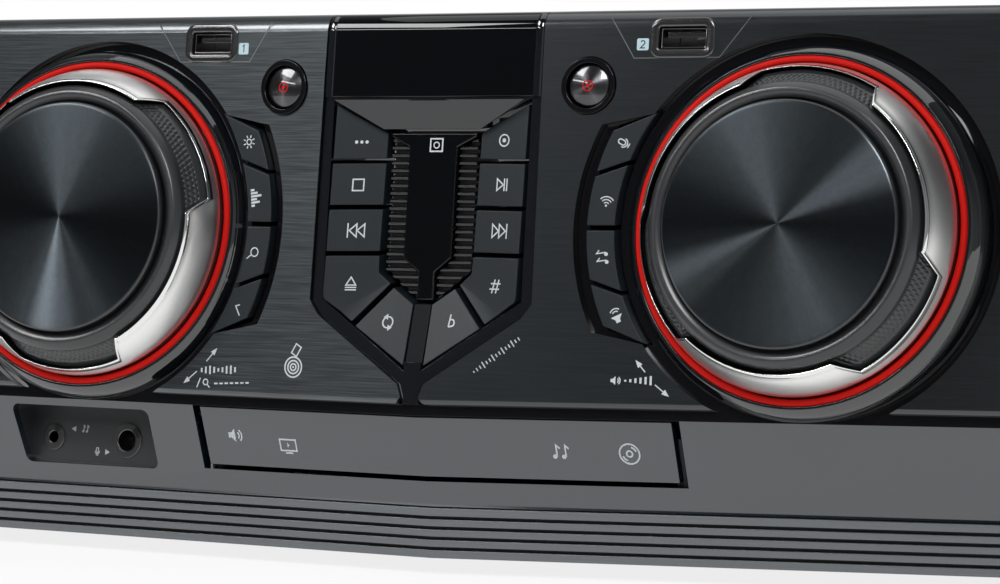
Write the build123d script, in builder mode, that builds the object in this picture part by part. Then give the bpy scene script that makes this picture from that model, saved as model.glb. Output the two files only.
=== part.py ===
"""Mini hi-fi system, main unit: front console with two large knobs, centre keypad and disc tray.

Millimetres. +Z up, +X to the right, the front faces -Y. The origin is at the middle of the
footprint, on the surface that the feet stand on.
"""
import os
from math import atan2, cos, degrees, hypot, pi, radians, sin, tan

from build123d import *

os.makedirs("parts", exist_ok=True)

# Driving dimensions of the whole unit
width = 450.0
height = 160.0
depth = 350.0
foot_height = 5.0
lean = 10.0  # the upper front and the knobs lean back
sweep = 5.8  # each half of the front runs back from the middle
undercut = 18.2  # the lower fascia draws in towards the floor
gap = 0.3  # between fixed pieces that stand beside each other

# Knobs
knob_x = width / 4
knob_z = 100.0
knob_stand = 5.5  # light ring in front of the panel, on the knob's centre
ring_r = 47.0
cap_r = 33.9
cap_top = 16.2
well_r = 52.0
opening_r = 55.0
opening_deep = 18.0  # how far behind the light ring the opening's cut runs: past the panel's wall
hole_deep = 22.0  # the same for the hole in the frame behind

# Heights of the front's bands
plinth_top = 19.4
fascia_bottom = 19.7
fascia_top = 46.7
panel_bottom = 50.2
shell_back = 53.0  # how far the front moulding reaches behind the nose
rear_reach = 10.0  # sockets behind the rear panel

# Walls
panel_wall = 3.0
flange_wall = 2.4
frame_wall = 3.0
sheet = 1.0

knob_reach = cap_top * cos(radians(lean)) + cap_r * sin(radians(lean))
ring_y = -depth / 2 + knob_reach
nose_y = ring_y + knob_stand - knob_x * tan(radians(sweep))
shell_y = nose_y + shell_back
rear_y = depth / 2 - rear_reach
half = width / 2
body_half = half - flange_wall - 2 * gap - frame_wall
front_clear = nose_y - 40.0  # a plane in front of everything, where cuts start

knob_axis = (0, -cos(radians(lean)), sin(radians(lean)))


def face(y_mid, z_mid, lean_deg, sweep_deg, side=1):
    """Plane through (0, y_mid, z_mid) that leans back and runs back to one side; it faces the front."""
    rise = tan(radians(lean_deg))
    run = tan(radians(sweep_deg)) * side
    return Plane(origin=(0, y_mid, z_mid), x_dir=(1, run, 0), z_dir=(run, -1, rise))


def panel_face(setback, side=1):
    """The panel surface, or a plane that lies setback behind it."""
    return face(nose_y + setback, knob_z, lean, sweep, side)


def fascia_face(setback, side=1):
    """The lower fascia's surface, or a plane that lies setback behind it."""
    return face(nose_y - 3.5 + setback, fascia_top, -undercut, sweep, side)


def outline(points, round_by=0.0):
    """Flat shape seen from the front, given as (x, z) points, on the plane y = 0."""
    with BuildSketch(Plane.XZ) as shape:
        with BuildLine():
            Polyline(*points, close=True)
        make_face()
        if round_by:
            fillet(shape.vertices(), round_by)
    return shape.sketch


def mirrored(points):
    """Closes a right-hand half outline with its mirror image."""
    return points + [(-x, z) for x, z in reversed(points) if x > 1e-6]


def slab(shape, back_y, front=None, behind=None, mode=Mode.ADD):
    """Runs a front-view shape forward from back_y, up to the plane front and behind the plane behind."""
    block = extrude(shape, amount=back_y - front_clear, mode=Mode.PRIVATE)
    block = Pos(0, back_y, 0) * block
    if front is not None:
        block = split(block, bisect_by=front, keep=Keep.BOTTOM, mode=Mode.PRIVATE)
    if behind is not None:
        block = split(block, bisect_by=behind, keep=Keep.TOP, mode=Mode.PRIVATE)
    add(block, mode=mode)


def rect(x0, z0, x1, z1):
    """Corner points of a rectangle seen from the front."""
    return [(x0, z0), (x1, z0), (x1, z1), (x0, z1)]


def disc(x, z, r):
    """Round shape seen from the front."""
    with BuildSketch(Plane.XZ) as shape:
        with Locations((x, z)):
            Circle(r)
    return shape.sketch


def save(builder, name):
    """Names a finished piece and writes it."""
    builder.part.label = name
    export_step(builder.part, f"parts/{name}.step")


# Front-view outline of the centre column, right half: it narrows to the bar between the panels
column_half = 34.4
column_corner = (35.1, 78.8)
column_turn = (32.1, 74.7)
column_tip = (4.3, 56.2)
column_foot = (2.9, 52.3)
column_right = [(column_half, height), column_corner, column_turn, column_tip, column_foot, (4.6, panel_bottom)]

# USB socket, round button and side keys, seen from the front
usb_x = 74.9
usb_z = height - 7.7
usb_hole = (15.2, 6.6)
button_x = 48.3
button_z = 139.5
button_r = 6.1
button_rim_r = 7.8
side_key_in = 54.3
side_key_out = 62.5
side_slot_in = 53.9
side_slot_out = 62.9
side_recess_out = 66.4
side_bounds = [(37.2, 26.6), (19.7, 14.0), (0.0, 0.0), (-19.7, -14.0), (-37.2, -26.6)]
side_gap = 0.7


def around(r, angle, side=1):
    """Front-view point at r from the knob's centre, with the angle measured from the unit's middle."""
    x = knob_x - r * cos(radians(angle))
    return (side * x, knob_z + r * sin(radians(angle)) * cos(radians(lean)))


def ring_piece(r_in, r_out, top, bottom, side=1):
    """Shape between two radii; top and bottom are (inner angle, outer angle)."""
    with BuildSketch(Plane.XZ) as shape:
        with BuildLine():
            a = around(r_in, top[0], side)
            b = around(r_out, top[1], side)
            c = around(r_out, bottom[1], side)
            d = around(r_in, bottom[0], side)
            Line(a, b)
            ThreePointArc(b, around(r_out, (top[1] + bottom[1]) / 2, side), c)
            Line(c, d)
            ThreePointArc(d, around(r_in, (top[0] + bottom[0]) / 2, side), a)
        make_face()
    return shape.sketch


side_recess = ring_piece(opening_r - 6.0, side_recess_out, (43.5, 26.0), (-44.5, -26.0))
side_slot = ring_piece(side_slot_in, side_slot_out, (37.8, 27.2), (-37.8, -27.2))

# Brushed front panels: thin shells with a rolled top and side
top_roll = 5.5
side_roll = 4.0
foot_roll = 1.6
panel_depth = shell_back - 6.0

with BuildPart() as panel_right:
    panel_outline = [(half, height), (half, panel_bottom)] + list(reversed(column_right))
    slab(outline(panel_outline), nose_y + panel_depth, front=panel_face(0))
    top_front = panel_right.edges().group_by(Axis.Z)[-1].sort_by(Axis.Y)[0]
    fillet(top_front, top_roll)
    side_front = panel_right.edges().group_by(Axis.X)[-1].sort_by(Axis.Y)[0]
    fillet(side_front, side_roll)
    foot_front = panel_right.edges().group_by(Axis.Z)[0].sort_by(Axis.Y)[0]
    fillet(foot_front, foot_roll)
    inside = rect(-5.0, 0.0, half - flange_wall, height - flange_wall)
    slab(outline(inside), nose_y + panel_depth + 1, front=panel_face(panel_wall), mode=Mode.SUBTRACT)
    with BuildSketch(Plane(origin=(knob_x, ring_y, knob_z), x_dir=(1, 0, 0), z_dir=knob_axis).offset(-opening_deep)):
        Circle(opening_r)
    extrude(amount=opening_deep + 40, mode=Mode.SUBTRACT)
    slab(side_recess, shell_y, mode=Mode.SUBTRACT)
    usb_box = rect(usb_x - usb_hole[0] / 2, usb_z - usb_hole[1] / 2, usb_x + usb_hole[0] / 2, usb_z + usb_hole[1] / 2)
    slab(outline(usb_box, 0.8), shell_y, mode=Mode.SUBTRACT)
    slab(disc(button_x, button_z, button_rim_r + gap), shell_y, mode=Mode.SUBTRACT)
save(panel_right, "panel_right")

with BuildPart() as panel_left:
    add(mirror(panel_right.part, about=Plane.YZ, mode=Mode.PRIVATE))
save(panel_left, "panel_left")

# Gloss black frame behind the panels: plate, skirt, knob holes and rims of the round buttons
frame_half = half - flange_wall - gap
frame_top = height - flange_wall - gap
frame_bottom = fascia_top + gap
frame_set = panel_wall + gap
frame_hole_r = 49.3
column_cut = [(0, frame_top - frame_wall - 0.4)] + [(column_half + gap, frame_top - frame_wall - 0.4)]
column_cut += [(x + gap, z) for x, z in column_right[1:]] + [(0, panel_bottom)]
usb_shell = (13.1, 5.7)

with BuildPart() as front_frame:
    slab(outline(rect(0, frame_bottom, frame_half, frame_top)), shell_y, front=panel_face(frame_set))
    hollow = rect(-5, frame_bottom + frame_wall, frame_half - frame_wall, frame_top - frame_wall)
    slab(outline(hollow), shell_y + 1, front=panel_face(frame_set + frame_wall), mode=Mode.SUBTRACT)
    slab(disc(button_x, button_z, button_rim_r), nose_y + 22, front=panel_face(-0.8))
    slab(disc(button_x, button_z, button_r + gap), shell_y, mode=Mode.SUBTRACT)
    slab(outline(column_cut), shell_y - 1, mode=Mode.SUBTRACT)
    slab(side_slot, shell_y - 1, mode=Mode.SUBTRACT)
    usb_cut = rect(usb_x - usb_shell[0] / 2 - gap, usb_z - usb_shell[1] / 2 - gap,
                   usb_x + usb_shell[0] / 2 + gap, usb_z + usb_shell[1] / 2 + gap)
    slab(outline(usb_cut), shell_y - 1, mode=Mode.SUBTRACT)
    with BuildSketch(Plane(origin=(knob_x, ring_y, knob_z), x_dir=(1, 0, 0), z_dir=knob_axis).offset(-hole_deep)):
        Circle(frame_hole_r)
    extrude(amount=hole_deep + 60, mode=Mode.SUBTRACT)
    mirror(about=Plane.YZ)
save(front_frame, "front_frame")

# Centre frame: border, key bowl floor, sloped facet under the display and the bar between the lowest keys
floor_y = nose_y + 18.6
floor_wall = 2.5
border_set = 1.2
key_lean = 12.0
key_sweep = -11.7
key_set = 9.6
low_lean = 22.7
low_sweep = -4.7
low_z = 70.0
low_set = -1.1
facet_top = 135.6
facet_bottom = 127.4
facet_half = 29.3
facet_half_low = 14.7
pocket_half = 31.4
bar_half = 2.6
stem = 4.0
frame_column = [(0, frame_top - frame_wall - 0.8), (column_half - gap, frame_top - frame_wall - 0.8)]
frame_column += [(x - gap, z) for x, z in column_right[1:-1]] + [(column_foot[0] - gap, panel_bottom + gap)]
frame_column += [(0, panel_bottom + gap)]


def key_face(setback, side=1):
    """Sloping face of the upper keys: a shallow valley towards the middle."""
    return face(nose_y + key_set + setback, knob_z, key_lean, key_sweep, side)


def low_face(setback, side=1):
    """Face of the lowest keys, which rises towards the chin."""
    return face(nose_y + low_set + setback, low_z, low_lean, low_sweep, side)


# Key outlines on the right: outer and inner edges, rows with one pitch, then the two lower shapes
key_in = 14.8
key_out = 30.5
key_pitch = 13.1
key_gap = 1.3
row_top = 117.6
bowl_turn = (14.6, 86.6)
bowl_side = (10.9, 83.5)
bowl_side_low = (9.7, 82.5)
bowl_foot = (2.95, 77.9)
chin_split_out = (21.0, 72.9)
chin_split_in = (19.7, 71.7)
chin_corner = (30.3, 79.4)
chin_end = (3.1, 61.0)
key_shapes = {
    1: [(key_in, row_top + key_gap), (key_out, row_top + key_gap), (key_out, 134.3), (key_in, 126.2)],
    2: rect(key_in, row_top - key_pitch + key_gap, key_out, row_top),
    3: rect(key_in, row_top - 2 * key_pitch + key_gap, key_out, row_top - key_pitch),
    4: [(key_in, row_top - 2 * key_pitch), bowl_turn, bowl_side, chin_split_out, chin_corner,
        (key_out, 81.5), (key_out, row_top - 2 * key_pitch)],
    5: [bowl_side_low, bowl_foot, chin_end, chin_split_in],
}
key_names = {"left": ["demo_key", "stop_key", "back_key", "eject_key", "auto_key"],
             "right": ["function_key", "play_key", "forward_key", "sharp_key", "flat_key"]}


def middle_of(points):
    """Mean of the corner points."""
    return (sum(p[0] for p in points) / len(points), sum(p[1] for p in points) / len(points))


key_travel = 1.0
key_back = floor_y - key_travel - 0.6
stem_back = floor_y + floor_wall + 4.0

with BuildPart() as centre_frame:
    slab(outline(frame_column), floor_y + floor_wall, front=panel_face(border_set))
    slab(outline([(0, facet_bottom), (facet_half_low, facet_bottom), (facet_half, facet_top), (0, facet_top)]),
         floor_y, behind=face(nose_y + 10.1, facet_top, -11.3, 0), mode=Mode.SUBTRACT)
    pocket = [(0, facet_bottom), (key_in, facet_bottom), (pocket_half, 136.2), (pocket_half, 79.2),
              (bar_half, 59.6), (bar_half, bowl_foot[1]), (0, bowl_foot[1])]
    slab(outline(pocket), floor_y, mode=Mode.SUBTRACT)
    bar_cut = [(0, 62.0), (bar_half + 0.1, 62.0), (bar_half + 0.1, bowl_foot[1] + 0.1), (0, bowl_foot[1] + 0.1)]
    slab(outline(bar_cut), floor_y, behind=low_face(0.4), mode=Mode.SUBTRACT)
    for shape in key_shapes.values():
        cx, cz = middle_of(shape)
        hole = (stem + 0.5) / 2
        slab(outline(rect(cx - hole, cz - hole, cx + hole, cz + hole)), shell_y, mode=Mode.SUBTRACT)
    mirror(about=Plane.YZ)
save(centre_frame, "centre_frame")

# Display window: gloss black lens over the column, rolled like the panels
with BuildPart() as display_window:
    lens = [(0, facet_top + 1.0), (column_half - gap, facet_top + 1.0), (column_half - gap, height), (0, height)]
    slab(outline(lens), nose_y + panel_depth, front=panel_face(0.5))
    fillet(display_window.edges().group_by(Axis.Z)[-1].sort_by(Axis.Y)[0], top_roll)
    room = rect(-1, 0, half, height - flange_wall)
    slab(outline(room), nose_y + panel_depth + 1, front=panel_face(border_set - 0.01), mode=Mode.SUBTRACT)
    mirror(about=Plane.YZ)
save(display_window, "display_window")

# Ribbed insert on both sides of the sensor window: one saw-tooth block on the bowl floor
rib_out = 13.5
rib_in = 7.9
rib_top = 124.8
rib_top_in = 121.9
rib_pitch = 2.15
rib_rise = 1.4
rib_set = 9.4  # root of the ribs behind the nose at the knob's height
rib_low = [(rib_out, 87.5), (bar_half + 0.4, 79.0), (bar_half + 0.4, 86.6), (rib_in, 90.8)]

with BuildPart() as rib_insert:
    with BuildSketch(Plane.YZ):
        with BuildLine():
            teeth = []
            z = rib_top
            while z > 76.0:
                root = nose_y + rib_set + (z - knob_z) * tan(radians(lean))
                teeth += [(root, z), (root - rib_rise, z - 0.5), (root - rib_rise, z - 1.1), (root, z - 1.5)]
                z -= rib_pitch
            Polyline(*teeth, (floor_y, teeth[-1][1]), (floor_y, rib_top), close=True)
        make_face()
    extrude(amount=rib_out)
    insert = extrude(outline([(rib_in, rib_top_in), (rib_out, rib_top)] + rib_low), amount=200, both=True,
                     mode=Mode.PRIVATE)
    add(insert, mode=Mode.INTERSECT)
    mirror(about=Plane.YZ)
save(rib_insert, "rib_insert")

# Sensor window: smooth lens down the middle of the bowl
with BuildPart() as sensor_window:
    glass = [(rib_out, facet_bottom - 1.2), (rib_out, rib_top + gap), (rib_in - gap, rib_top_in + gap),
             (rib_in - gap, 91.0), (bar_half, 86.9), (bar_half, 79.0)]
    slab(outline(mirrored(glass)), floor_y, front=face(nose_y + 6.9, knob_z, lean, 0))
    fillet(sensor_window.faces().sort_by(Axis.Y)[0].edges(), 0.5)
save(sensor_window, "sensor_window")

# Ten centre keys: each slides straight back, guided by its stem in the bowl floor
for side_name, side in (("left", -1), ("right", 1)):
    for number, shape in key_shapes.items():
        points = [(side * x, z) for x, z in shape]
        with BuildPart() as key:
            if number < 5:
                slab(outline(points), key_back, front=key_face(0, side))
            if number > 3:
                slab(outline(points), key_back, front=low_face(0, side))
            if number == 4:
                fillet(key.edges().filter_by(Axis.Y).group_by(Axis.Z)[0:3][1], 1.2)
            cx, cz = middle_of(points)
            pin = stem / 2
            slab(outline(rect(cx - pin, cz - pin, cx + pin, cz + pin)), stem_back, front=Plane(
                origin=(0, key_back - 1, 0), x_dir=(1, 0, 0), z_dir=(0, -1, 0)))
        save(key, key_names[side_name][number - 1])

# Four side keys beside each knob, guided in the frame's curved slot
for side_name, side in (("left", -1), ("right", 1)):
    for number in range(4):
        top_in, top_out = side_bounds[number]
        low_in, low_out = side_bounds[number + 1]
        shift_in = degrees(side_gap / side_key_in)
        shift_out = degrees(side_gap / side_key_out)
        with BuildPart() as side_key:
            shape = ring_piece(side_key_in, side_key_out, (top_in - shift_in, top_out - shift_out),
                               (low_in + shift_in, low_out + shift_out), side)
            slab(shape, nose_y + 24.0, front=panel_face(-0.3, side))
            front_rim = side_key.faces().sort_by(Axis.Y)[0].edges()
            fillet(front_rim, 0.4)
        save(side_key, f"side_key_{side_name}_{number + 1}")

# Round buttons
for side_name, side in (("left", -1), ("right", 1)):
    with BuildPart() as round_button:
        slab(disc(side * button_x, button_z, button_r), nose_y + 26.0, front=panel_face(0.2, side))
        fillet(round_button.edges().sort_by(Axis.Y)[0], 0.6)
    save(round_button, f"round_button_{side_name}")

# Lower fascia with the tray slot, and the jack recess on the left
tray_half = 74.9
tray_slot_half = 77.3
tray_slot_bottom = 27.2
door_bottom = 28.6
door_top = 46.4
fascia_wall = 3.0
jack_left = (-143.1, 26.1)
jack_right = (-94.1, 44.4)
jack_top_left = -144.8
jack_round = 2.4
jack_wall = 1.4
jack_set = 4.2
loader_half = 79.5
tray_way = loader_half + gap

with BuildPart() as fascia:
    slab(outline(rect(0, fascia_bottom, half, fascia_top)), shell_y, front=fascia_face(0))
    fillet(fascia.edges().group_by(Axis.X)[-1].sort_by(Axis.Y)[0], side_roll)
    hollow = rect(-5, fascia_bottom + fascia_wall, half - fascia_wall, fascia_top - fascia_wall)
    slab(outline(hollow), shell_y + 1, front=fascia_face(fascia_wall), mode=Mode.SUBTRACT)
    slab(outline(rect(-1, tray_slot_bottom, tray_slot_half, height)), shell_y + 1, mode=Mode.SUBTRACT)
    slab(outline(rect(-1, 0, tray_way, height)), shell_y + 1, front=fascia_face(fascia_wall + 0.01),
         mode=Mode.SUBTRACT)
    mirror(about=Plane.YZ)
    jack_hole = outline([jack_left, (jack_right[0], jack_left[1]), jack_right, (jack_top_left, jack_right[1])], jack_round)
    slab(jack_hole, shell_y, mode=Mode.SUBTRACT)
    wide = jack_wall + gap
    behind_hole = rect(jack_top_left - wide, jack_left[1] - wide, jack_right[0] + wide, jack_right[1] + wide)
    slab(outline(behind_hole), shell_y, front=fascia_face(fascia_wall, -1), mode=Mode.SUBTRACT)
save(fascia, "fascia")

# Jack panel: a tub behind the fascia, with its floor leaning like the upper panels
jack_x = (-135.6, -108.2)
jack_z = 33.4
jack_r = (1.75, 3.175)
jack_rim_r = (4.0, 5.3)
jack_floor = 2.0
jack_floor_normal = jack_floor / hypot(1, tan(radians(lean)), tan(radians(sweep)))
jack_depth = 14.0
jack_y = nose_y + 7.7


def jack_face(setback):
    """Floor of the jack recess."""
    return face(jack_y + setback, jack_z, lean, sweep, -1)


def jack_axis(number):
    """Plane on the recess floor at one jack, facing the front."""
    floor = jack_face(0)
    run = tan(radians(sweep))
    y = jack_y - jack_x[number] * run
    return Plane(origin=(jack_x[number], y, jack_z), z_dir=floor.z_dir)


with BuildPart() as jack_panel:
    tub = rect(jack_top_left - jack_wall, jack_left[1] - jack_wall, jack_right[0] + jack_wall, jack_right[1] + jack_wall)
    slab(outline(tub), nose_y + 40.0, front=fascia_face(fascia_wall, -1), behind=None)
    slab(jack_hole, nose_y + 41.0, front=None, behind=jack_face(0), mode=Mode.SUBTRACT)
    past_tub = rect(jack_top_left - 9, jack_left[1] - 9, jack_right[0] + 9, jack_right[1] + 9)
    slab(outline(past_tub), nose_y + 60.0, front=jack_face(jack_floor), mode=Mode.SUBTRACT)
    for number in range(2):
        with BuildSketch(jack_axis(number)):
            Circle(jack_r[number] + 0.9)
        extrude(amount=10, both=True, mode=Mode.SUBTRACT)
save(jack_panel, "jack_panel")

# Plinth: ribbed base moulding under the whole unit, with a floor and side walls
plinth_set = 4.0
plinth_wall = 3.0
plinth_floor = 2.0
rib_count = 4
rib_first = 17.05
groove_pitch = 2.95
groove_high = 0.9
groove_deep = 1.3
plinth_back = rear_y


def plan(inset):
    """Footprint of the plinth seen from above, drawn in by inset."""
    run = tan(radians(sweep))
    front = nose_y + plinth_set + inset
    side = half - inset
    rear = body_half - inset
    return [(0, front), (side, front + side * run), (side, shell_y - inset), (rear, shell_y - inset),
            (rear, plinth_back - inset)]


def plan_sheet(inset, z):
    """The footprint as a flat sheet at height z."""
    points = plan(inset)
    with BuildSketch(Plane.XY.offset(z)) as shape:
        with BuildLine():
            Polyline(*points, *[(-x, y) for x, y in reversed(points) if x > 0], close=True)
        make_face()
    return shape.sketch


with BuildPart() as plinth:
    extrude(plan_sheet(0, foot_height), amount=plinth_top - foot_height)
    extrude(plan_sheet(plinth_wall, foot_height + plinth_floor), amount=plinth_top, mode=Mode.SUBTRACT)
    for number in range(rib_count):
        z = rib_first - number * groove_pitch - groove_high
        ring = extrude(plan_sheet(-5, z), amount=groove_high, mode=Mode.PRIVATE)
        core = extrude(plan_sheet(groove_deep, z), amount=groove_high, mode=Mode.PRIVATE)
        add(ring - core, mode=Mode.SUBTRACT)
save(plinth, "plinth")

# Rubber feet under the plinth
foot_r = 11.0
foot_front = (half - 55.0, shell_y + 38.0)
foot_rear = (body_half - 39.0, rear_y - 30.0)
foot_places = [foot_front, (-foot_front[0], foot_front[1]), foot_rear, (-foot_rear[0], foot_rear[1])]
with BuildPart() as feet:
    for x, y in foot_places:
        with BuildSketch(Plane.XY):
            with Locations((x, y)):
                Circle(foot_r)
        extrude(amount=foot_height)
    fillet(feet.edges().group_by(Axis.Z)[0], 1.2)
save(feet, "feet")

# Steel chassis plate in the plinth
plate_z = foot_height + plinth_floor
plate_thick = 1.2
plate_inset = plinth_wall + gap
vent = (3.0, 26.0)
with BuildPart() as chassis_plate:
    extrude(plan_sheet(plate_inset, plate_z), amount=plate_thick)
    with BuildSketch(Plane.XY.offset(plate_z)):
        with Locations((body_half - 94.0, rear_y - 165.0)):
            with GridLocations(8, 34, 9, 2):
                SlotOverall(vent[1], vent[0], rotation=90)
    extrude(amount=plate_thick, mode=Mode.SUBTRACT)
save(chassis_plate, "chassis_plate")
plate_top = plate_z + plate_thick

# Top cover: steel sheet folded over the top and both sides, with vents
cover_top = frame_top - frame_wall - gap
cover_tuck = 12.0
cover_front = shell_y - cover_tuck
cover_bottom = plinth_top + gap
cover_back = rear_y - sheet - gap
with BuildPart() as top_cover:
    with BuildSketch(Plane.XZ.offset(-cover_back)):
        with BuildLine():
            FilletPolyline((-body_half, cover_bottom), (-body_half, cover_top), (body_half, cover_top),
                           (body_half, cover_bottom), radius=2.5)
            FilletPolyline((body_half, cover_bottom), (body_half - sheet, cover_bottom),
                           (body_half - sheet, cover_top - sheet), (-body_half + sheet, cover_top - sheet),
                           (-body_half + sheet, cover_bottom), (-body_half, cover_bottom), radius=0.4)
        make_face()
    extrude(amount=cover_back - cover_front)
    for low, high in ((0.0, fascia_bottom + 3.0 + gap), (fascia_top - 3.0 - gap, frame_bottom + frame_wall + gap)):
        slab(outline(rect(-half, low, half, high)), shell_y + gap, mode=Mode.SUBTRACT)
    for side in (-1, 1):
        with BuildSketch(Plane.XY.offset(cover_top - 4)):
            with Locations((side * (body_half - 99.0), rear_y - 95.0)):
                with GridLocations(8, 34, 13, 3):
                    SlotOverall(vent[1], vent[0], rotation=90)
        extrude(amount=8, mode=Mode.SUBTRACT)
    with BuildSketch(Plane.YZ.offset(-half)):
        with Locations((rear_y - 105.0, 70)):
            with GridLocations(8, 34, 16, 2):
                SlotOverall(vent[1], vent[0], rotation=90)
    extrude(amount=width, mode=Mode.SUBTRACT)
save(top_cover, "top_cover")

# Rear panel with the fan opening, the socket field and the inlet cut-out
fan_x = -(body_half - 69.0)
fan_z = 92.0
fan_r = 37.0
fan_size = 80.0
fan_deep = 20.0
field_x0 = fan_x + 55.0
field = rect(field_x0, 60, field_x0 + 155.0, 130)
inlet_x = body_half - 54.0
inlet_z = 50.0
inlet_size = (25.0, 17.0)
with BuildPart() as rear_panel:
    back = rect(-body_half, plinth_top + gap, body_half, cover_top)
    slab(outline(back), rear_y, behind=None, front=Plane(origin=(0, rear_y - sheet, 0), z_dir=(0, -1, 0)))
    for r in (8.0, 16.5, 25.0, 33.5):
        with BuildSketch(Plane.XZ.offset(-rear_y)) as grille:
            with Locations((fan_x, fan_z)):
                Circle(r + 3.2)
                Circle(r - 3.2, mode=Mode.SUBTRACT)
            with Locations(Location((fan_x, fan_z), 45)):
                Rectangle(3.0, 90, mode=Mode.SUBTRACT)
                Rectangle(90, 3.0, mode=Mode.SUBTRACT)
        extrude(grille.sketch, amount=sheet, mode=Mode.SUBTRACT)
    slab(outline(field, 2.0), rear_y + 1, mode=Mode.SUBTRACT)
    inlet_cut = rect(inlet_x - inlet_size[0] / 2, inlet_z - inlet_size[1] / 2,
                     inlet_x + inlet_size[0] / 2, inlet_z + inlet_size[1] / 2)
    slab(outline(inlet_cut, 1.5), rear_y + 1, mode=Mode.SUBTRACT)
save(rear_panel, "rear_panel")

# Fan behind the grille
fan_back = rear_y - sheet
rotor_r = 35.5
rotor_hub_r = 17.0
rotor_gap = 2.0
with BuildPart() as fan_frame:
    with BuildSketch(Plane.XZ.offset(-fan_back)):
        with Locations((fan_x, fan_z)):
            RectangleRounded(fan_size, fan_size, 4)
            Circle(fan_r, mode=Mode.SUBTRACT)
            with GridLocations(71.5, 71.5, 2, 2):
                Circle(2.2, mode=Mode.SUBTRACT)
    extrude(amount=fan_deep)
    with BuildSketch(Plane.XZ.offset(-fan_back + fan_deep - 3.0)):
        with Locations((fan_x, fan_z)):
            Circle(15.0)
            Rectangle(4.0, 2 * fan_r + 2)
            Rectangle(2 * fan_r + 2, 4.0)
    extrude(amount=3.0)
    with BuildSketch(Plane.XZ.offset(-fan_back + 5.0)):
        with Locations((fan_x, fan_z)):
            Circle(2.5)
    extrude(amount=fan_deep - 7.0)
save(fan_frame, "fan_frame")

blade_count = 7
with BuildPart() as fan_rotor:
    with BuildSketch(Plane.XZ.offset(-fan_back + rotor_gap)):
        with Locations((fan_x, fan_z)):
            Circle(rotor_hub_r)
    extrude(amount=fan_deep - 3.0 - rotor_gap - 0.5)
    with BuildSketch(Plane.XZ.offset(-fan_back + 4.6)):
        with Locations((fan_x, fan_z)):
            Circle(2.6)
    extrude(amount=fan_deep, mode=Mode.SUBTRACT)
    for number in range(blade_count):
        turn = 360 / blade_count * number
        with BuildSketch(Plane(origin=(fan_x, fan_back - fan_deep / 2, fan_z), x_dir=(cos(radians(turn)), 0, sin(radians(turn))),
                               z_dir=(-sin(radians(turn)), 0, cos(radians(turn))))) as blade:
            with Locations(Location(((rotor_hub_r + rotor_r) / 2 - 0.5, 0), 0)):
                Rectangle(rotor_r - rotor_hub_r + 1, 11.0)
        fin = extrude(blade.sketch, amount=0.8, both=True, mode=Mode.PRIVATE)
        pitch_axis = Axis((fan_x, fan_back - fan_deep / 2, fan_z), (cos(radians(turn)), 0, sin(radians(turn))))
        add(fin.rotate(pitch_axis, 35), mode=Mode.ADD)
save(fan_rotor, "fan_rotor")

# Knob stack: fixed housing and light ring, then the ring, grip and cap that turn together
housing_back = -12.0
housing_floor = 2.0
ring_in = 46.1
ring_out = 48.0
bush_r = 3.5
shaft_r = 3.0
skirt_r = 45.0
silver_low = 3.0
silver_top = 12.8
silver_in = 40.5
silver_wall = 1.4
grip_r = 39.2
cutout_wide = 35.2
cutout_narrow = 22.0
cutout_r = 44.2
cap_back = 13.0
grip_back = housing_back + housing_floor + 1.5
turned = {"left": (-1, 30.6), "right": (1, 81.8)}


def knob_origin(side):
    """Centre of the light ring's plane."""
    return (side * knob_x, ring_y, knob_z)


def knob_section(side):
    """Section plane through the knob's axis: local x is the radius, local y runs out along the axis."""
    return Plane(origin=knob_origin(side), x_dir=(1, 0, 0), z_dir=(0, -sin(radians(lean)), -cos(radians(lean))))


def knob_front(side, out=0.0):
    """Plane across the knob's axis, out in front of the light ring."""
    return Plane(origin=knob_origin(side), x_dir=(1, 0, 0), z_dir=knob_axis).offset(out)


def turn_profile(side, points):
    """Revolves a closed profile of (radius, out) points about the knob's axis."""
    with BuildSketch(knob_section(side)) as profile:
        with BuildLine():
            Polyline(*points, close=True)
        make_face()
    revolve(profile.sketch, axis=Axis(knob_origin(side), knob_axis))


def sector(side, r_in, r_out, middle, half_in, half_out, out):
    """Ring sector across the knob's axis with slanted ends."""
    with BuildSketch(knob_front(side, out)) as shape:
        with BuildLine():
            def at(r, angle):
                return (r * cos(radians(angle)), r * sin(radians(angle)))
            a = at(r_in, middle - half_in)
            b = at(r_out, middle - half_out)
            c = at(r_out, middle + half_out)
            d = at(r_in, middle + half_in)
            Line(a, b)
            ThreePointArc(b, at(r_out, middle), c)
            Line(c, d)
            ThreePointArc(d, at(r_in, middle), a)
        make_face()
    return shape.sketch


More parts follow.
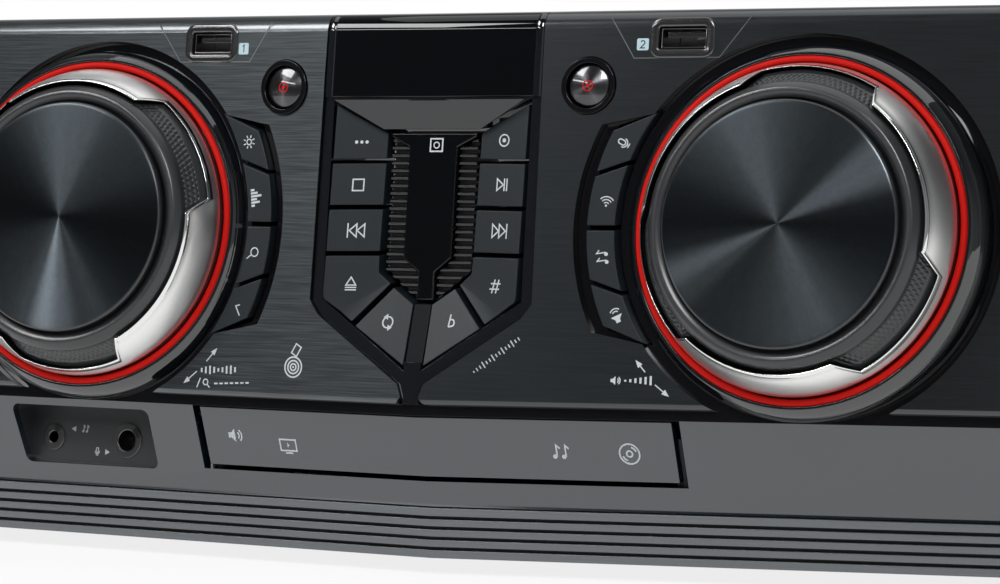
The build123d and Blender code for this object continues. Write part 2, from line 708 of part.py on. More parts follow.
for side_name, (side, first_cut) in turned.items():
    with BuildPart() as knob_housing:
        turn_profile(side, [(0, housing_back), (frame_hole_r - gap, housing_back), (frame_hole_r - gap, -34.0),
                            (well_r, -34.0), (well_r, -5.5), (51.0, -2.6), (ring_out + gap, 0.0), (0, 0.0)])
        shell = knob_housing.part
        step_plane = panel_face(frame_set, side)
        foot = split(shell, bisect_by=step_plane, keep=Keep.TOP, mode=Mode.PRIVATE)
        with BuildSketch(knob_section(side)) as spigot:
            with Locations(((frame_hole_r - gap) / 2, housing_back / 2)):
                Rectangle(frame_hole_r - gap, -housing_back)
        core = revolve(spigot.sketch, axis=Axis(knob_origin(side), knob_axis), mode=Mode.PRIVATE)
        add(foot, mode=Mode.REPLACE)
        add(core)
        with BuildSketch(knob_section(side)) as cavity:
            with BuildLine():
                Polyline((0, housing_back - 1), (bush_r, housing_back - 1), (bush_r, housing_back + housing_floor),
                         (ring_in, housing_back + housing_floor), (ring_in, -6.0), (ring_out + gap, -6.0),
                         (ring_out + gap, 1.0), (0, 1.0), close=True)
            make_face()
        revolve(cavity.sketch, axis=Axis(knob_origin(side), knob_axis), mode=Mode.SUBTRACT)
    save(knob_housing, f"knob_housing_{side_name}")

    with BuildPart() as knob_ring:
        turn_profile(side, [(skirt_r - silver_wall, -3.0), (skirt_r, -3.0), (skirt_r, silver_low),
                            (silver_in, silver_top), (silver_in - 0.7, silver_top),
                            (silver_in - 0.7, silver_top - 1.2), (skirt_r - silver_wall, silver_low)])
        for number in range(3):
            middle = first_cut + 120 * number
            cut = sector(side, silver_in - 4.0, cutout_r, middle, cutout_wide, cutout_narrow, silver_low - 0.6)
            extrude(cut, amount=20, mode=Mode.SUBTRACT)
    save(knob_ring, f"knob_ring_{side_name}")

    with BuildPart() as knob_grip:
        turn_profile(side, [(shaft_r + 0.1, grip_back), (6.5, grip_back), (6.5, 9.5), (grip_r - 3, 9.5),
                            (grip_r - 3, grip_back + 2), (grip_r, grip_back), (skirt_r - 0.4, grip_back),
                            (skirt_r - 0.4, -3.0), (skirt_r - silver_wall - 0.1, -3.0),
                            (skirt_r - silver_wall - 0.1, silver_low - 0.9), (grip_r, 11.2), (grip_r, 12.4),
                            (37.4, 14.4), (36.0, 14.4), (34.6, 13.6), (34.6, cap_back), (shaft_r + 0.1, cap_back)])
        for number in range(3):
            middle = first_cut + 120 * number
            pad = sector(side, grip_r - 0.5, cutout_r - 0.5, middle, cutout_wide - 4.6, cutout_narrow + 0.2,
                         silver_low - 0.6 + gap)
            pad = extrude(pad, amount=20, mode=Mode.PRIVATE)
            with BuildSketch(knob_section(side)) as cone:
                with BuildLine():
                    Polyline((grip_r - 1, 0), (skirt_r, 0), (skirt_r, silver_low - 1.1), (silver_in - 1.3, silver_top - 2.2),
                             (grip_r - 1, silver_top - 2.2), close=True)
                make_face()
            solid_cone = revolve(cone.sketch, axis=Axis(knob_origin(side), knob_axis), mode=Mode.PRIVATE)
            add(pad & solid_cone)
    save(knob_grip, f"knob_grip_{side_name}")

    with BuildPart() as knob_cap:
        turn_profile(side, [(0, cap_back), (cap_r, cap_back), (cap_r, cap_top - 0.8), (cap_r - 0.6, cap_top), (0, cap_top)])
    save(knob_cap, f"knob_cap_{side_name}")

with BuildPart() as light_rings:
    for side in (-1, 1):
        turn_profile(side, [(ring_in + 0.1, -6.0), (ring_out, -6.0), (ring_out, 0.0), (ring_r, 0.5), (ring_in + 0.1, 0.0)])
save(light_rings, "light_rings")

# Door on the front of the tray, flush with the fascia
door_thick = 3.5
with BuildPart() as tray_door:
    slab(outline(rect(0, door_bottom, tray_half, door_top)), shell_y, front=fascia_face(0.0), behind=fascia_face(door_thick))
    mirror(about=Plane.YZ)
save(tray_door, "tray_door")

# Disc tray: moulded carrier with recesses for both disc sizes, a slot for the pickup and a rack underneath
disc_set = 77.0
disc_y = nose_y + disc_set
tray_side = 72.0
tray_low = 31.0
tray_high = 38.0
tray_rear = disc_y + 117.0
disc_r = 61.0
disc_floor = 35.0
small_r = 40.8
small_floor = 34.0
slot_half = 19.0
tray_slot_y = disc_y - 18.0
module = 1.0
gear_teeth = 16
gear_r = module * gear_teeth / 2
gear_x = -53.0
gear_y = disc_y - 38.0
rack_low = 28.0
rack_x = gear_x - gear_r
rack_pitch = pi * module
rack_teeth = 48
with BuildPart() as disc_tray:
    slab(outline(rect(0, tray_low, tray_side, tray_high)), tray_rear, front=fascia_face(door_thick))
    mirror(about=Plane.YZ)
    for r, floor in ((disc_r, disc_floor), (small_r, small_floor)):
        with BuildSketch(Plane.XY.offset(floor)):
            with Locations((0, disc_y)):
                Circle(r)
        extrude(amount=20, mode=Mode.SUBTRACT)
    with BuildSketch(Plane.XY.offset(tray_low)):
        with Locations((0, (tray_slot_y + tray_rear + 10) / 2)):
            Rectangle(2 * slot_half, tray_rear + 10 - tray_slot_y)
    extrude(amount=20, mode=Mode.SUBTRACT)
    with BuildSketch(Plane.XY.offset(rack_low)) as rack:
        start = gear_y - 2 * rack_pitch
        end = start + rack_teeth * rack_pitch
        with Locations(((rack_x - 1.25 - 5.0 + rack_x - 1.25) / 2, (start + end) / 2)):
            Rectangle(5.0, end - start)
        for number in range(rack_teeth):
            y = start + (number + 0.5) * rack_pitch
            with BuildLine():
                Polyline((rack_x - 1.3, y - 1.05), (rack_x, y - 0.6), (rack_x + 0.9, y - 0.28), (rack_x + 0.9, y + 0.28),
                         (rack_x, y + 0.6), (rack_x - 1.3, y + 1.05), close=True)
            make_face()
    extrude(amount=tray_low - rack_low)
save(disc_tray, "disc_tray")

# Loader frame: floor with the pickup opening, side walls, clamp bridge, bearing blocks, guide rod and posts
base_low = 22.5
base_high = 25.0
wall_in = tray_side + 0.4
wall_out = 75.4
wall_high = 41.0
loader_rear = disc_y + 142.0
bridge_low = 41.0
bridge_high = 44.0
bridge = (disc_y - 25.0, disc_y + 25.0)
well = (28.0, disc_y + 16.0, disc_y + 74.0)
rod_x = 22.0
rod_z = 25.5
rod_r = 1.5
clamp_hole_r = 14.0
motor_r = 5.0
with BuildPart() as loader_frame:
    slab(outline(rect(0, base_low, wall_out, wall_high)), loader_rear, front=fascia_face(door_thick + 0.6))
    slab(outline(rect(-1, base_high, wall_in, wall_high + 1)), loader_rear + 1, mode=Mode.SUBTRACT)
    mirror(about=Plane.YZ)
    with Locations((0, (bridge[0] + bridge[1]) / 2, (bridge_low + bridge_high) / 2)):
        Box(2 * wall_out, bridge[1] - bridge[0], bridge_high - bridge_low)
    with Locations((0, disc_y, bridge_low)):
        Cylinder(clamp_hole_r, 20, mode=Mode.SUBTRACT)
    with Locations((0, (well[1] + well[2]) / 2, base_low)):
        Box(2 * well[0], well[2] - well[1], 20, mode=Mode.SUBTRACT)
    for y in (well[1] - 1.5, well[2] + 1.5):
        for x in (-rod_x, rod_x):
            with Locations((x, y, (base_low + 29.0) / 2)):
                Box(10, 3, 29.0 - base_low)
    with Locations(Location((rod_x, (well[1] + well[2]) / 2, rod_z), (90, 0, 0))):
        Cylinder(rod_r, well[2] - well[1] + 2)
    with Locations(Location((-rod_x, (well[1] + well[2]) / 2, rod_z), (90, 0, 0))):
        Cylinder(1.25, well[2] - well[1] + 20, mode=Mode.SUBTRACT)
    with Locations((-rod_x, well[2] + 3 + 10, base_low)):
        Box(2 * motor_r + 1, 20, 20, mode=Mode.SUBTRACT)
    with Locations((gear_x, gear_y, (base_high + 30.0) / 2)):
        Cylinder(1.5, 30.0 - base_high)
    for x in (-68.0, 68.0):
        for y in (disc_y - 43.0, disc_y + 132.0):
            with Locations((x, y, (plate_top + base_low) / 2)):
                Cylinder(4.0, base_low - plate_top)
save(loader_frame, "loader_frame")

# Tray gear, meshing with the rack under the tray
with BuildPart() as tray_gear:
    with BuildSketch(Plane.XY.offset(rack_low - 0.2)):
        with Locations((gear_x, gear_y)):
            Circle(gear_r - 1.2)
        for number in range(gear_teeth):
            tooth = [(gear_r - 1.6, -1.0), (gear_r, -0.62), (gear_r + 0.85, -0.3), (gear_r + 0.85, 0.3),
                     (gear_r, 0.62), (gear_r - 1.6, 1.0)]
            turn = radians(360 / gear_teeth * number)
            tooth = [(gear_x + x * cos(turn) - y * sin(turn), gear_y + x * sin(turn) + y * cos(turn)) for x, y in tooth]
            with BuildLine():
                Polyline(*tooth, close=True)
            make_face()
    extrude(amount=tray_low - rack_low - 0.2)
    with Locations((gear_x, gear_y, base_high + 0.2)):
        Cylinder(4.0, rack_low - base_high, align=(Align.CENTER, Align.CENTER, Align.MIN))
    with Locations((gear_x, gear_y, base_high)):
        Cylinder(1.55, 20, mode=Mode.SUBTRACT)
save(tray_gear, "tray_gear")

# Turntable on the spindle, with the centring cone for the disc
table_r = 14.8
table_top = 35.4
hub_r = 7.4
spindle_r = 1.0
spin_motor_top = 31.0
with BuildPart() as turntable:
    with BuildSketch(Plane.XZ.offset(-disc_y)):
        with BuildLine():
            Polyline((0, base_high + 0.3), (spindle_r, base_high + 0.3), (spindle_r, spin_motor_top + 0.3), (5.0, spin_motor_top + 0.3),
                     (5.0, table_top - 1.6), (table_r, table_top - 1.6), (table_r, table_top), (hub_r, table_top),
                     (hub_r, table_top + 1.3), (5.6, table_top + 2.2), (0, table_top + 2.2), close=True)
        make_face()
    revolve(axis=Axis((0, disc_y, 0), (0, 0, 1)))
save(turntable, "turntable")

# Disc clamp hanging in the bridge over the turntable
clamp_low = 38.4
clamp_r = 12.6
with BuildPart() as disc_clamp:
    with BuildSketch(Plane.XZ.offset(-disc_y)):
        with BuildLine():
            Polyline((0, 39.6), (8.0, 39.6), (8.6, clamp_low), (clamp_r, clamp_low), (clamp_r, bridge_high + 0.2),
                     (16.0, bridge_high + 0.2), (16.0, bridge_high + 1.4), (0, bridge_high + 1.4), close=True)
        make_face()
    revolve(axis=Axis((0, disc_y, 0), (0, 0, 1)))
save(disc_clamp, "disc_clamp")

# Pickup sled on the guide rod and the lead screw
sled = (disc_y + 16.5, disc_y + 40.0)
sled_travel = 34.0
lens_y = disc_y + 24.5
with BuildPart() as pickup_sled:
    sled_mid = (sled[0] + sled[1]) / 2
    sled_long = sled[1] - sled[0]
    with Locations((0, sled_mid, 26.0)):
        Box(54, sled_long, 7.0)
    with Locations((0, sled_mid, 29.5 + 1.5)):
        Box(30, sled_long - 4, 3.0)
    with Locations((0, lens_y, 32.5)):
        Cylinder(3.6, 0.8, align=(Align.CENTER, Align.CENTER, Align.MIN))
    with Locations(Location((rod_x, sled_mid, rod_z), (90, 0, 0))):
        Cylinder(rod_r + 0.05, 60, mode=Mode.SUBTRACT)
    with Locations(Location((-rod_x, sled_mid, rod_z), (90, 0, 0))):
        Cylinder(2.1, 60, mode=Mode.SUBTRACT)
save(pickup_sled, "pickup_sled")

# Lead screw of the sled
screw_pitch = 3.0
with BuildPart() as sled_screw:
    with BuildSketch(Plane(origin=(-rod_x, 0, rod_z), x_dir=(1, 0, 0), z_dir=(0, 0, 1))):
        with BuildLine():
            ridge = [(0, well[1] - 2.5), (1.2, well[1] - 2.5), (1.2, well[1] + 0.3), (1.4, well[1] + 0.3)]
            y = well[1] + 1.5
            while y < well[2] - 2.5:
                ridge += [(1.4, y), (2.0, y + 0.5), (2.0, y + 1.1), (1.4, y + 1.6)]
                y += screw_pitch
            ridge += [(1.4, well[2] - 0.3), (1.2, well[2] - 0.3), (1.2, well[2] + 2.8), (0, well[2] + 2.8)]
            Polyline(*ridge, close=True)
        make_face()
    revolve(axis=Axis((-rod_x, 0, rod_z), (0, 1, 0)))
save(sled_screw, "sled_screw")

# Motors of the loader: spindle motor, sled motor and tray motor
tray_motor = (-28.0, disc_y - 40.0)
with BuildPart() as loader_motors:
    with Locations((0, disc_y, base_high)):
        Cylinder(12.0, spin_motor_top - base_high, align=(Align.CENTER, Align.CENTER, Align.MIN))
        Cylinder(spindle_r + 0.05, 30, mode=Mode.SUBTRACT)
    with Locations(Location((-rod_x, well[2] + 3.0, rod_z), (-90, 0, 0))):
        Cylinder(motor_r, 18.0, align=(Align.CENTER, Align.CENTER, Align.MIN))
    with Locations((tray_motor[0], tray_motor[1], base_low)):
        Cylinder(10.0, 13.5, align=(Align.CENTER, Align.CENTER, Align.MAX))
save(loader_motors, "loader_motors")

# Circuit boards: key board with switches and encoders behind the front, main board on the chassis plate
board_set = 31.6
board_y = nose_y + board_set
board_thick = 1.6
key_board_half = 150.0
key_board = (56.0, 140.0)
switch_size = 6.0
encoder_r = 8.0
shaft_out = 10.5
main_board = (-body_half + 14.0, -body_half + 135.0, shell_y + 16.0, shell_y + 146.0)
board_low = 14.2
switch_places = []
for shape in key_shapes.values():
    cx, cz = middle_of(shape)
    switch_places += [(cx, cz, stem_back + key_travel), (-cx, cz, stem_back + key_travel)]
for number in range(4):
    top_mid = sum(side_bounds[number]) / 2
    low_mid = sum(side_bounds[number + 1]) / 2
    for side in (-1, 1):
        x, z = around((side_key_in + side_key_out) / 2, (top_mid + low_mid) / 2, side)
        switch_places.append((x, z, nose_y + 24.0 + key_travel))
for side in (-1, 1):
    switch_places.append((side * button_x, button_z - 2.5, nose_y + 26.0 + key_travel))

with BuildPart() as circuit_boards:
    board = outline(rect(-key_board_half, key_board[0], key_board_half, key_board[1]))
    slab(board, board_y + board_thick, front=Plane(origin=(0, board_y, 0), x_dir=(1, 0, 0), z_dir=(0, -1, 0)))
    for side in (-1, 1):
        tab = outline(rect(side * usb_x - 10, key_board[1] - 1, side * usb_x + 10, usb_z + 1.8))
        slab(tab, board_y + board_thick, front=Plane(origin=(0, board_y, 0), x_dir=(1, 0, 0), z_dir=(0, -1, 0)))
    for x, z, y in switch_places:
        with Locations((x, (board_y + y) / 2, z)):
            Box(switch_size, board_y - y, 4.6)
    for side in (-1, 1):
        with BuildSketch(knob_front(side, housing_back)):
            Circle(encoder_r)
        body = extrude(amount=-40, mode=Mode.PRIVATE)
        body = split(body, bisect_by=Plane(origin=(0, board_y - gap, 0), x_dir=(1, 0, 0), z_dir=(0, -1, 0)),
                     keep=Keep.TOP, mode=Mode.PRIVATE)
        add(body)
        with BuildSketch(knob_front(side, housing_back)):
            Circle(shaft_r)
        extrude(amount=shaft_out - housing_back)
    with Locations(((main_board[0] + main_board[1]) / 2, (main_board[2] + main_board[3]) / 2, board_low)):
        Box(main_board[1] - main_board[0], main_board[3] - main_board[2], board_thick,
            align=(Align.CENTER, Align.CENTER, Align.MIN))
        with GridLocations(105, 115, 2, 2):
            Cylinder(3.0, board_low - plate_top, align=(Align.CENTER, Align.CENTER, Align.MAX))
    chips = [(25, 30, 28, 28, 3), (85, 40, 18, 18, 2.5), (45, 90, 40, 12, 9), (95, 100, 22, 30, 12), (15, 110, 10, 24, 14)]
    for x, y, dx, dy, dz in chips:
        with Locations((main_board[0] + x, main_board[2] + y, board_low + board_thick)):
            Box(dx, dy, dz, align=(Align.CENTER, Align.CENTER, Align.MIN))
save(circuit_boards, "circuit_boards")

# Power supply: board, transformer and smoothing capacitors
supply = (body_half - 127.0, body_half - 11.0, rear_y - 185.0, rear_y - 25.0)
with BuildPart() as power_supply:
    with Locations(((supply[0] + supply[1]) / 2, (supply[2] + supply[3]) / 2, board_low)):
        Box(supply[1] - supply[0], supply[3] - supply[2], board_thick, align=(Align.CENTER, Align.CENTER, Align.MIN))
        with GridLocations(104, 146, 2, 2):
            Cylinder(3.0, board_low - plate_top, align=(Align.CENTER, Align.CENTER, Align.MAX))
    with Locations((supply[0] + 58, supply[2] + 40, board_low + board_thick)):
        Box(66, 54, 46, align=(Align.CENTER, Align.CENTER, Align.MIN))
        Box(40, 70, 38, align=(Align.CENTER, Align.CENTER, Align.MIN))
    for x, y in ((20, 105), (20, 138), (53, 120)):
        with Locations((supply[0] + x, supply[2] + y, board_low + board_thick)):
            Cylinder(14.0, 42.0, align=(Align.CENTER, Align.CENTER, Align.MIN))
save(power_supply, "power_supply")

# Heat sink in front of the fan
sink = (fan_x - fan_size / 2, fan_x + fan_size / 2, fan_back - 104.0, fan_back - 24.0)
sink_low = 44.0
fin_count = 10
with BuildPart() as heat_sink:
    sink_mid = ((sink[0] + sink[1]) / 2, (sink[2] + sink[3]) / 2)
    with Locations((sink_mid[0], sink_mid[1], sink_low)):
        Box(sink[1] - sink[0], sink[3] - sink[2], 6.0, align=(Align.CENTER, Align.CENTER, Align.MIN))
    with Locations((sink_mid[0], sink_mid[1], sink_low + 6.0)):
        with GridLocations((sink[1] - sink[0] - 2.4) / (fin_count - 1), 1, fin_count, 1):
            Box(2.4, sink[3] - sink[2], 68.0, align=(Align.CENTER, Align.CENTER, Align.MIN))
    with Locations((sink_mid[0], sink_mid[1], plate_top)):
        with GridLocations(sink[1] - sink[0] - 5.0, sink[3] - sink[2] - 5.0, 2, 2):
            Box(5.0, 5.0, sink_low - plate_top, align=(Align.CENTER, Align.CENTER, Align.MIN))
save(heat_sink, "heat_sink")

# Sockets at the front: two USB shells with tongues and the two audio jacks
usb_wall = 0.4
usb_front = 0.8
jack_length = 13.0
jack_proud = 0.5
jack_sleeve = 0.85
with BuildPart() as front_sockets:
    for side in (-1, 1):
        x = side * usb_x
        w, h = usb_shell
        slab(outline(rect(x - w / 2, usb_z - h / 2, x + w / 2, usb_z + h / 2)), board_y, front=panel_face(usb_front, side))
        slab(outline(rect(x - w / 2 + usb_wall, usb_z - h / 2 + usb_wall, x + w / 2 - usb_wall, usb_z + h / 2 - usb_wall)),
             board_y - 1.5, mode=Mode.SUBTRACT)
        slab(outline(rect(x - 5.4, usb_z + 0.1, x + 5.4, usb_z + 1.8)), board_y, front=panel_face(2.6, side))
    for number in range(2):
        bore = jack_r[number]
        with BuildSketch(jack_axis(number)):
            Circle(bore + jack_sleeve)
        extrude(amount=-jack_length - 1.5)
        with BuildSketch(jack_axis(number)):
            Circle(bore + jack_sleeve)
        extrude(amount=jack_proud)
        with BuildSketch(jack_axis(number)):
            Circle(jack_rim_r[number])
        extrude(amount=jack_proud)
        with BuildSketch(jack_axis(number).offset(-jack_floor_normal)):
            Circle(jack_rim_r[number] + 0.8)
        extrude(amount=-2.0)
        with BuildSketch(jack_axis(number).offset(-jack_length)):
            Circle(bore)
        extrude(amount=jack_length + jack_proud + 1, mode=Mode.SUBTRACT)
save(front_sockets, "front_sockets")

# Sockets at the rear: insulating plate with audio sockets, speaker terminals and aerial, and the mains inlet
field_set = 0.3
field_thick = 2.0
phono = [(field_x0 + x, z) for x in (15, 37) for z in (114, 92)]
terminals = [(field_x0 + x, 74) for x in (75, 95, 115, 135)]
aerial = (field_x0 + 26, 71)
with BuildPart() as rear_sockets:
    plate = rect(field[0][0] + field_set, field[0][1] + field_set, field[2][0] - field_set, field[2][1] - field_set)
    slab(outline(plate, 1.7), rear_y, front=Plane(origin=(0, rear_y - field_thick, 0), x_dir=(1, 0, 0), z_dir=(0, -1, 0)))
    lip = rect(field[0][0] - 3, field[0][1] - 3, field[2][0] + 3, field[2][1] + 3)
    slab(outline(lip, 2.0), rear_y - sheet, front=Plane(origin=(0, rear_y - sheet - 2.0, 0), x_dir=(1, 0, 0), z_dir=(0, -1, 0)))
    for x, z in phono + [aerial]:
        with BuildSketch(Plane.XZ.offset(-rear_y - rear_reach)):
            with Locations((x, z)):
                Circle(4.15)
        extrude(amount=rear_reach)
        with BuildSketch(Plane.XZ.offset(-rear_y - rear_reach)):
            with Locations((x, z)):
                Circle(1.7)
        extrude(amount=rear_reach - 0.5, mode=Mode.SUBTRACT)
        with BuildSketch(Plane.XZ.offset(-rear_y - 1.5)):
            with Locations((x, z)):
                Circle(7.0)
                Circle(4.15, mode=Mode.SUBTRACT)
        extrude(amount=1.5)
    for x, z in terminals:
        for dz in (0, 26):
            with BuildSketch(Plane.XZ.offset(-rear_y - 7.0)):
                with Locations((x, z + dz)):
                    RectangleRounded(15, 20, 1.5)
            extrude(amount=7.0)
            with BuildSketch(Plane.XZ.offset(-rear_y - 7.0)):
                with Locations((x, z + dz - 4)):
                    Circle(2.0)
            extrude(amount=5.5, mode=Mode.SUBTRACT)
    with BuildSketch(Plane.XZ.offset(-rear_y - 1.2)):
        with Locations((inlet_x, inlet_z)):
            RectangleRounded(inlet_size[0] + 6, inlet_size[1] + 6, 2.5)
    extrude(amount=1.2)
    with BuildSketch(Plane.XZ.offset(-rear_y)):
        with Locations((inlet_x, inlet_z)):
            RectangleRounded(inlet_size[0] - 2 * gap, inlet_size[1] - 2 * gap, 1.2)
    extrude(amount=17.0)
    with BuildSketch(Plane.XZ.offset(-rear_y - 1.2)):
        with Locations((inlet_x, inlet_z)):
            RectangleRounded(19.4, 11.4, 4.0)
    extrude(amount=16.0, mode=Mode.SUBTRACT)
    for dx in (-4.2, 4.2):
        with Locations(Location((inlet_x + dx, rear_y - 15.0, inlet_z), (-90, 0, 0))):
            Cylinder(1.2, 11.0, align=(Align.CENTER, Align.CENTER, Align.MIN))
save(rear_sockets, "rear_sockets")

# Screw heads on the rear panel, the fan and the sides of the cover
head_r = 3.2
head_high = 1.6
edge_x = body_half - 9.0
top_z = cover_top - 8.0
low_z_screw = plinth_top + 7.6
rear_screws = [(-edge_x, low_z_screw), (-edge_x / 2, low_z_screw), (0, low_z_screw), (edge_x / 2, low_z_screw),
               (edge_x, low_z_screw), (-edge_x, top_z), (-edge_x / 3, top_z), (edge_x / 3, top_z), (edge_x, top_z)]
for z in (field[0][1] - 5.0, field[2][1] + 5.0):
    rear_screws += [(field[0][0] + 5.0, z), ((field[0][0] + field[2][0]) / 2, z), (field[2][0] - 5.0, z)]
fan_screws = [(fan_x + dx, fan_z + dz) for dx in (-35.75, 35.75) for dz in (-35.75, 35.75)]
side_screws = [(shell_y + 46.0, 60), (shell_y + 46.0, 130), (rear_y - 40.0, 60), (rear_y - 40.0, 130)]
with BuildPart() as screws:
    for x, z in rear_screws + fan_screws:
        with BuildSketch(Plane.XZ.offset(-rear_y - head_high)):
            with Locations((x, z)):
                Circle(head_r)
        extrude(amount=head_high)
    for side in (-1, 1):
        for y, z in side_screws:
            with Locations(Location((side * body_half, y, z), (0, 90 * side, 0))):
                Cylinder(head_r + 0.8, head_high, align=(Align.CENTER, Align.CENTER, Align.MIN))
save(screws, "screws")
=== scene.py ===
"""Main unit of a mini hi-fi system, dressed for its photograph. The studio comes first, then the pieces in the
order in which the unit is put together: base, works, cover, loader, front moulding, keys and knobs.
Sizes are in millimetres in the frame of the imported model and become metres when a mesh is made."""
import math

import bmesh
import bpy
import numpy as np
from mathutils import Euler, Matrix, Vector


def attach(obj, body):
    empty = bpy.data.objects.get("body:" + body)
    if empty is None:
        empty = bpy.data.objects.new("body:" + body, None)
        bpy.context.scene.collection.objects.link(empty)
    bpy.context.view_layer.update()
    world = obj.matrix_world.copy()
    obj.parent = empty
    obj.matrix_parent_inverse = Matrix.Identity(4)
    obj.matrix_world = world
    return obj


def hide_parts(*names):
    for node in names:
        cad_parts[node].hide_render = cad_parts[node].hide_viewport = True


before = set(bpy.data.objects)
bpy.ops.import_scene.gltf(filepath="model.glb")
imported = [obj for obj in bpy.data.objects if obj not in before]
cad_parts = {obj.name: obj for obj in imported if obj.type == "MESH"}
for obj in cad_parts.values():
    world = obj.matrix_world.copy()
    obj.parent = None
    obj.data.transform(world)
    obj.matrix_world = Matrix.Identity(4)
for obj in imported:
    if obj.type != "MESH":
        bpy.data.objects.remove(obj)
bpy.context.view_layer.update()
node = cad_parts
mm = 0.001


# Camera, at the photograph's angle: a long lens from the front right of the unit, a little above its middle.
# Found by fitting the knob circles, the keypad's corners and the bands of the front to the picture.
def link(made):
    """Puts an object in the scene."""
    bpy.context.scene.collection.objects.link(made)
    return made


image_width, focal_pixels = 1000, 3841.56
eye, eye_turns = (0.48428, -1.13062, 0.16665), (85.49871, 1.02026, 25.2059)
camera_data = bpy.data.cameras.new("camera")
camera_data.sensor_width = 36.0
camera_data.lens = focal_pixels / image_width * camera_data.sensor_width
camera_data.clip_end = 50.0
camera = link(bpy.data.objects.new("camera", camera_data))
camera.matrix_world = Matrix.Translation(eye) @ Euler(np.radians(eye_turns)).to_matrix().to_4x4()
bpy.context.scene.camera = camera
bpy.context.scene.view_settings.view_transform = "Standard"


# Studio: pale floor, soft boxes above the unit at its front left and right, and a dark room behind the camera,
# as the black gloss of the front shows it. The backdrop is white to the camera and in the reflections.
def wired(tree, kind, values=(), links=()):
    """New shader node with its sockets set, and other nodes' outputs joined to its inputs."""
    made = tree.nodes.new(kind)
    for key, value in values:
        made.inputs[key].default_value = value
    for key, output in links:
        tree.links.new(output, made.inputs[key])
    return made


def bare_tree(holder):
    """Node tree of a material or world, emptied."""
    holder.use_nodes = True
    holder.node_tree.nodes.clear()
    return holder.node_tree


def sum_of(tree, operation, *parts):
    """Math node over outputs or numbers."""
    made = tree.nodes.new("ShaderNodeMath")
    made.operation = operation
    for place, part in enumerate(parts):
        if isinstance(part, (int, float)):
            made.inputs[place].default_value = part
        else:
            tree.links.new(part, made.inputs[place])
    return made.outputs[0]


def vector(tree, operation, source, other=None):
    """Vector Math node over an output and, where one is given, a fixed second vector."""
    made = wired(tree, "ShaderNodeVectorMath", [], [(0, source)])
    made.operation = operation
    if other:
        made.inputs[1].default_value = other
    return made


def scaled(tree, value, start, end, low, high):
    """A value carried in proportion from start..end to low..high, and held there at both ends."""
    spans = zip(("From Min", "From Max", "To Min", "To Max"), (start, end, low, high))
    return wired(tree, "ShaderNodeMapRange", spans, [("Value", value)]).outputs[0]


def shown(tree, kind, share, first, second):
    """Ends a tree: the first shader turns into the second by a share, and goes to the output."""
    mix = wired(tree, "ShaderNodeMixShader", [], [(0, share), (1, first.outputs[0]), (2, second.outputs[0])])
    wired(tree, kind, [], [(0, mix.outputs[0])])


floor_half = 6.0
near_edge, far_edge, near_glow = 0.3, 0.9, 0.82
floor_mesh = bpy.data.meshes.new("floor")
floor_mesh.from_pydata([(x * floor_half, y * floor_half, 0) for x, y in ((-1, -1), (1, -1), (1, 1), (-1, 1))],
                       [], [(0, 1, 2, 3)])
floor = link(bpy.data.objects.new("floor", floor_mesh))
floor_paint = bpy.data.materials.new("floor_paint")
tree = bare_tree(floor_paint)
ray_kind = tree.nodes.new("ShaderNodeLightPath").outputs
away = vector(tree, "LENGTH", tree.nodes.new("ShaderNodeTexCoord").outputs["Object"])
glow_share = scaled(tree, away.outputs["Value"], near_edge, far_edge, near_glow, 1.0)
mirrored = sum_of(tree, "MAXIMUM", ray_kind["Is Camera Ray"], ray_kind["Is Glossy Ray"])
matt = wired(tree, "ShaderNodeBsdfDiffuse", [("Color", (0.9, 0.91, 0.92, 1))])
glow = wired(tree, "ShaderNodeEmission", [("Color", (1, 1, 1, 1)), ("Strength", 1.0)])
shown(tree, "ShaderNodeOutputMaterial", sum_of(tree, "MULTIPLY", mirrored, glow_share), matt, glow)
floor_mesh.materials.append(floor_paint)

# The room brightens towards the back, darkens overhead, and has a soft lobe towards its right flank
world = bpy.data.worlds.new("studio")
bpy.context.scene.world = world
tree = bare_tree(world)
ray_kind = tree.nodes.new("ShaderNodeLightPath").outputs
way = tree.nodes.new("ShaderNodeTexCoord").outputs["Generated"]
part = wired(tree, "ShaderNodeSeparateXYZ", [], [(0, way)])
depth_share = scaled(tree, part.outputs["Y"], -0.2, 0.6, 0.07, 0.4)
height_share = scaled(tree, part.outputs["Z"], 0.0, 0.6, 1.0, 0.5)
flank = vector(tree, "DOT_PRODUCT", way, (0.78, -0.62, 0.05))
flank_glow = scaled(tree, flank.outputs["Value"], 0.72, 1.0, 0.0, 0.28)
room_glow = sum_of(tree, "ADD", sum_of(tree, "MULTIPLY", depth_share, height_share), flank_glow)
room = wired(tree, "ShaderNodeBackground", [("Color", (0.95, 0.975, 1.0, 1))], [("Strength", room_glow)])
white = wired(tree, "ShaderNodeBackground", [("Color", (1, 1, 1, 1)), ("Strength", 1.0)])
shown(tree, "ShaderNodeOutputWorld", ray_kind["Is Camera Ray"], room, white)


def soft_box(name, place, aim, size, watts):
    """Rectangular lamp at place, turned to aim, in metres."""
    lamp = bpy.data.lights.new(name, "AREA")
    lamp.shape = "RECTANGLE"
    lamp.size, lamp.size_y = size
    lamp.energy = watts
    lamp_object = link(bpy.data.objects.new(name, lamp))
    turn = (Vector(aim) - Vector(place)).to_track_quat("-Z", "Y")
    lamp_object.matrix_world = Matrix.Translation(place) @ turn.to_matrix().to_4x4()


soft_box("overhead", (0.0, 0.3, 2.2), (0, 0, 0.05), (2.4, 2.0), 14)
soft_box("front_left", (-1.1, -1.25, 1.6), (0, -0.15, 0.1), (1.0, 0.7), 24)
soft_box("front_strip", (-0.9, -1.55, 0.9), (0, -0.15, 0.15), (1.1, 0.05), 3)
soft_box("front_right", (0.62, -1.45, 1.3), (0, -0.15, 0.1), (0.6, 0.6), 16)


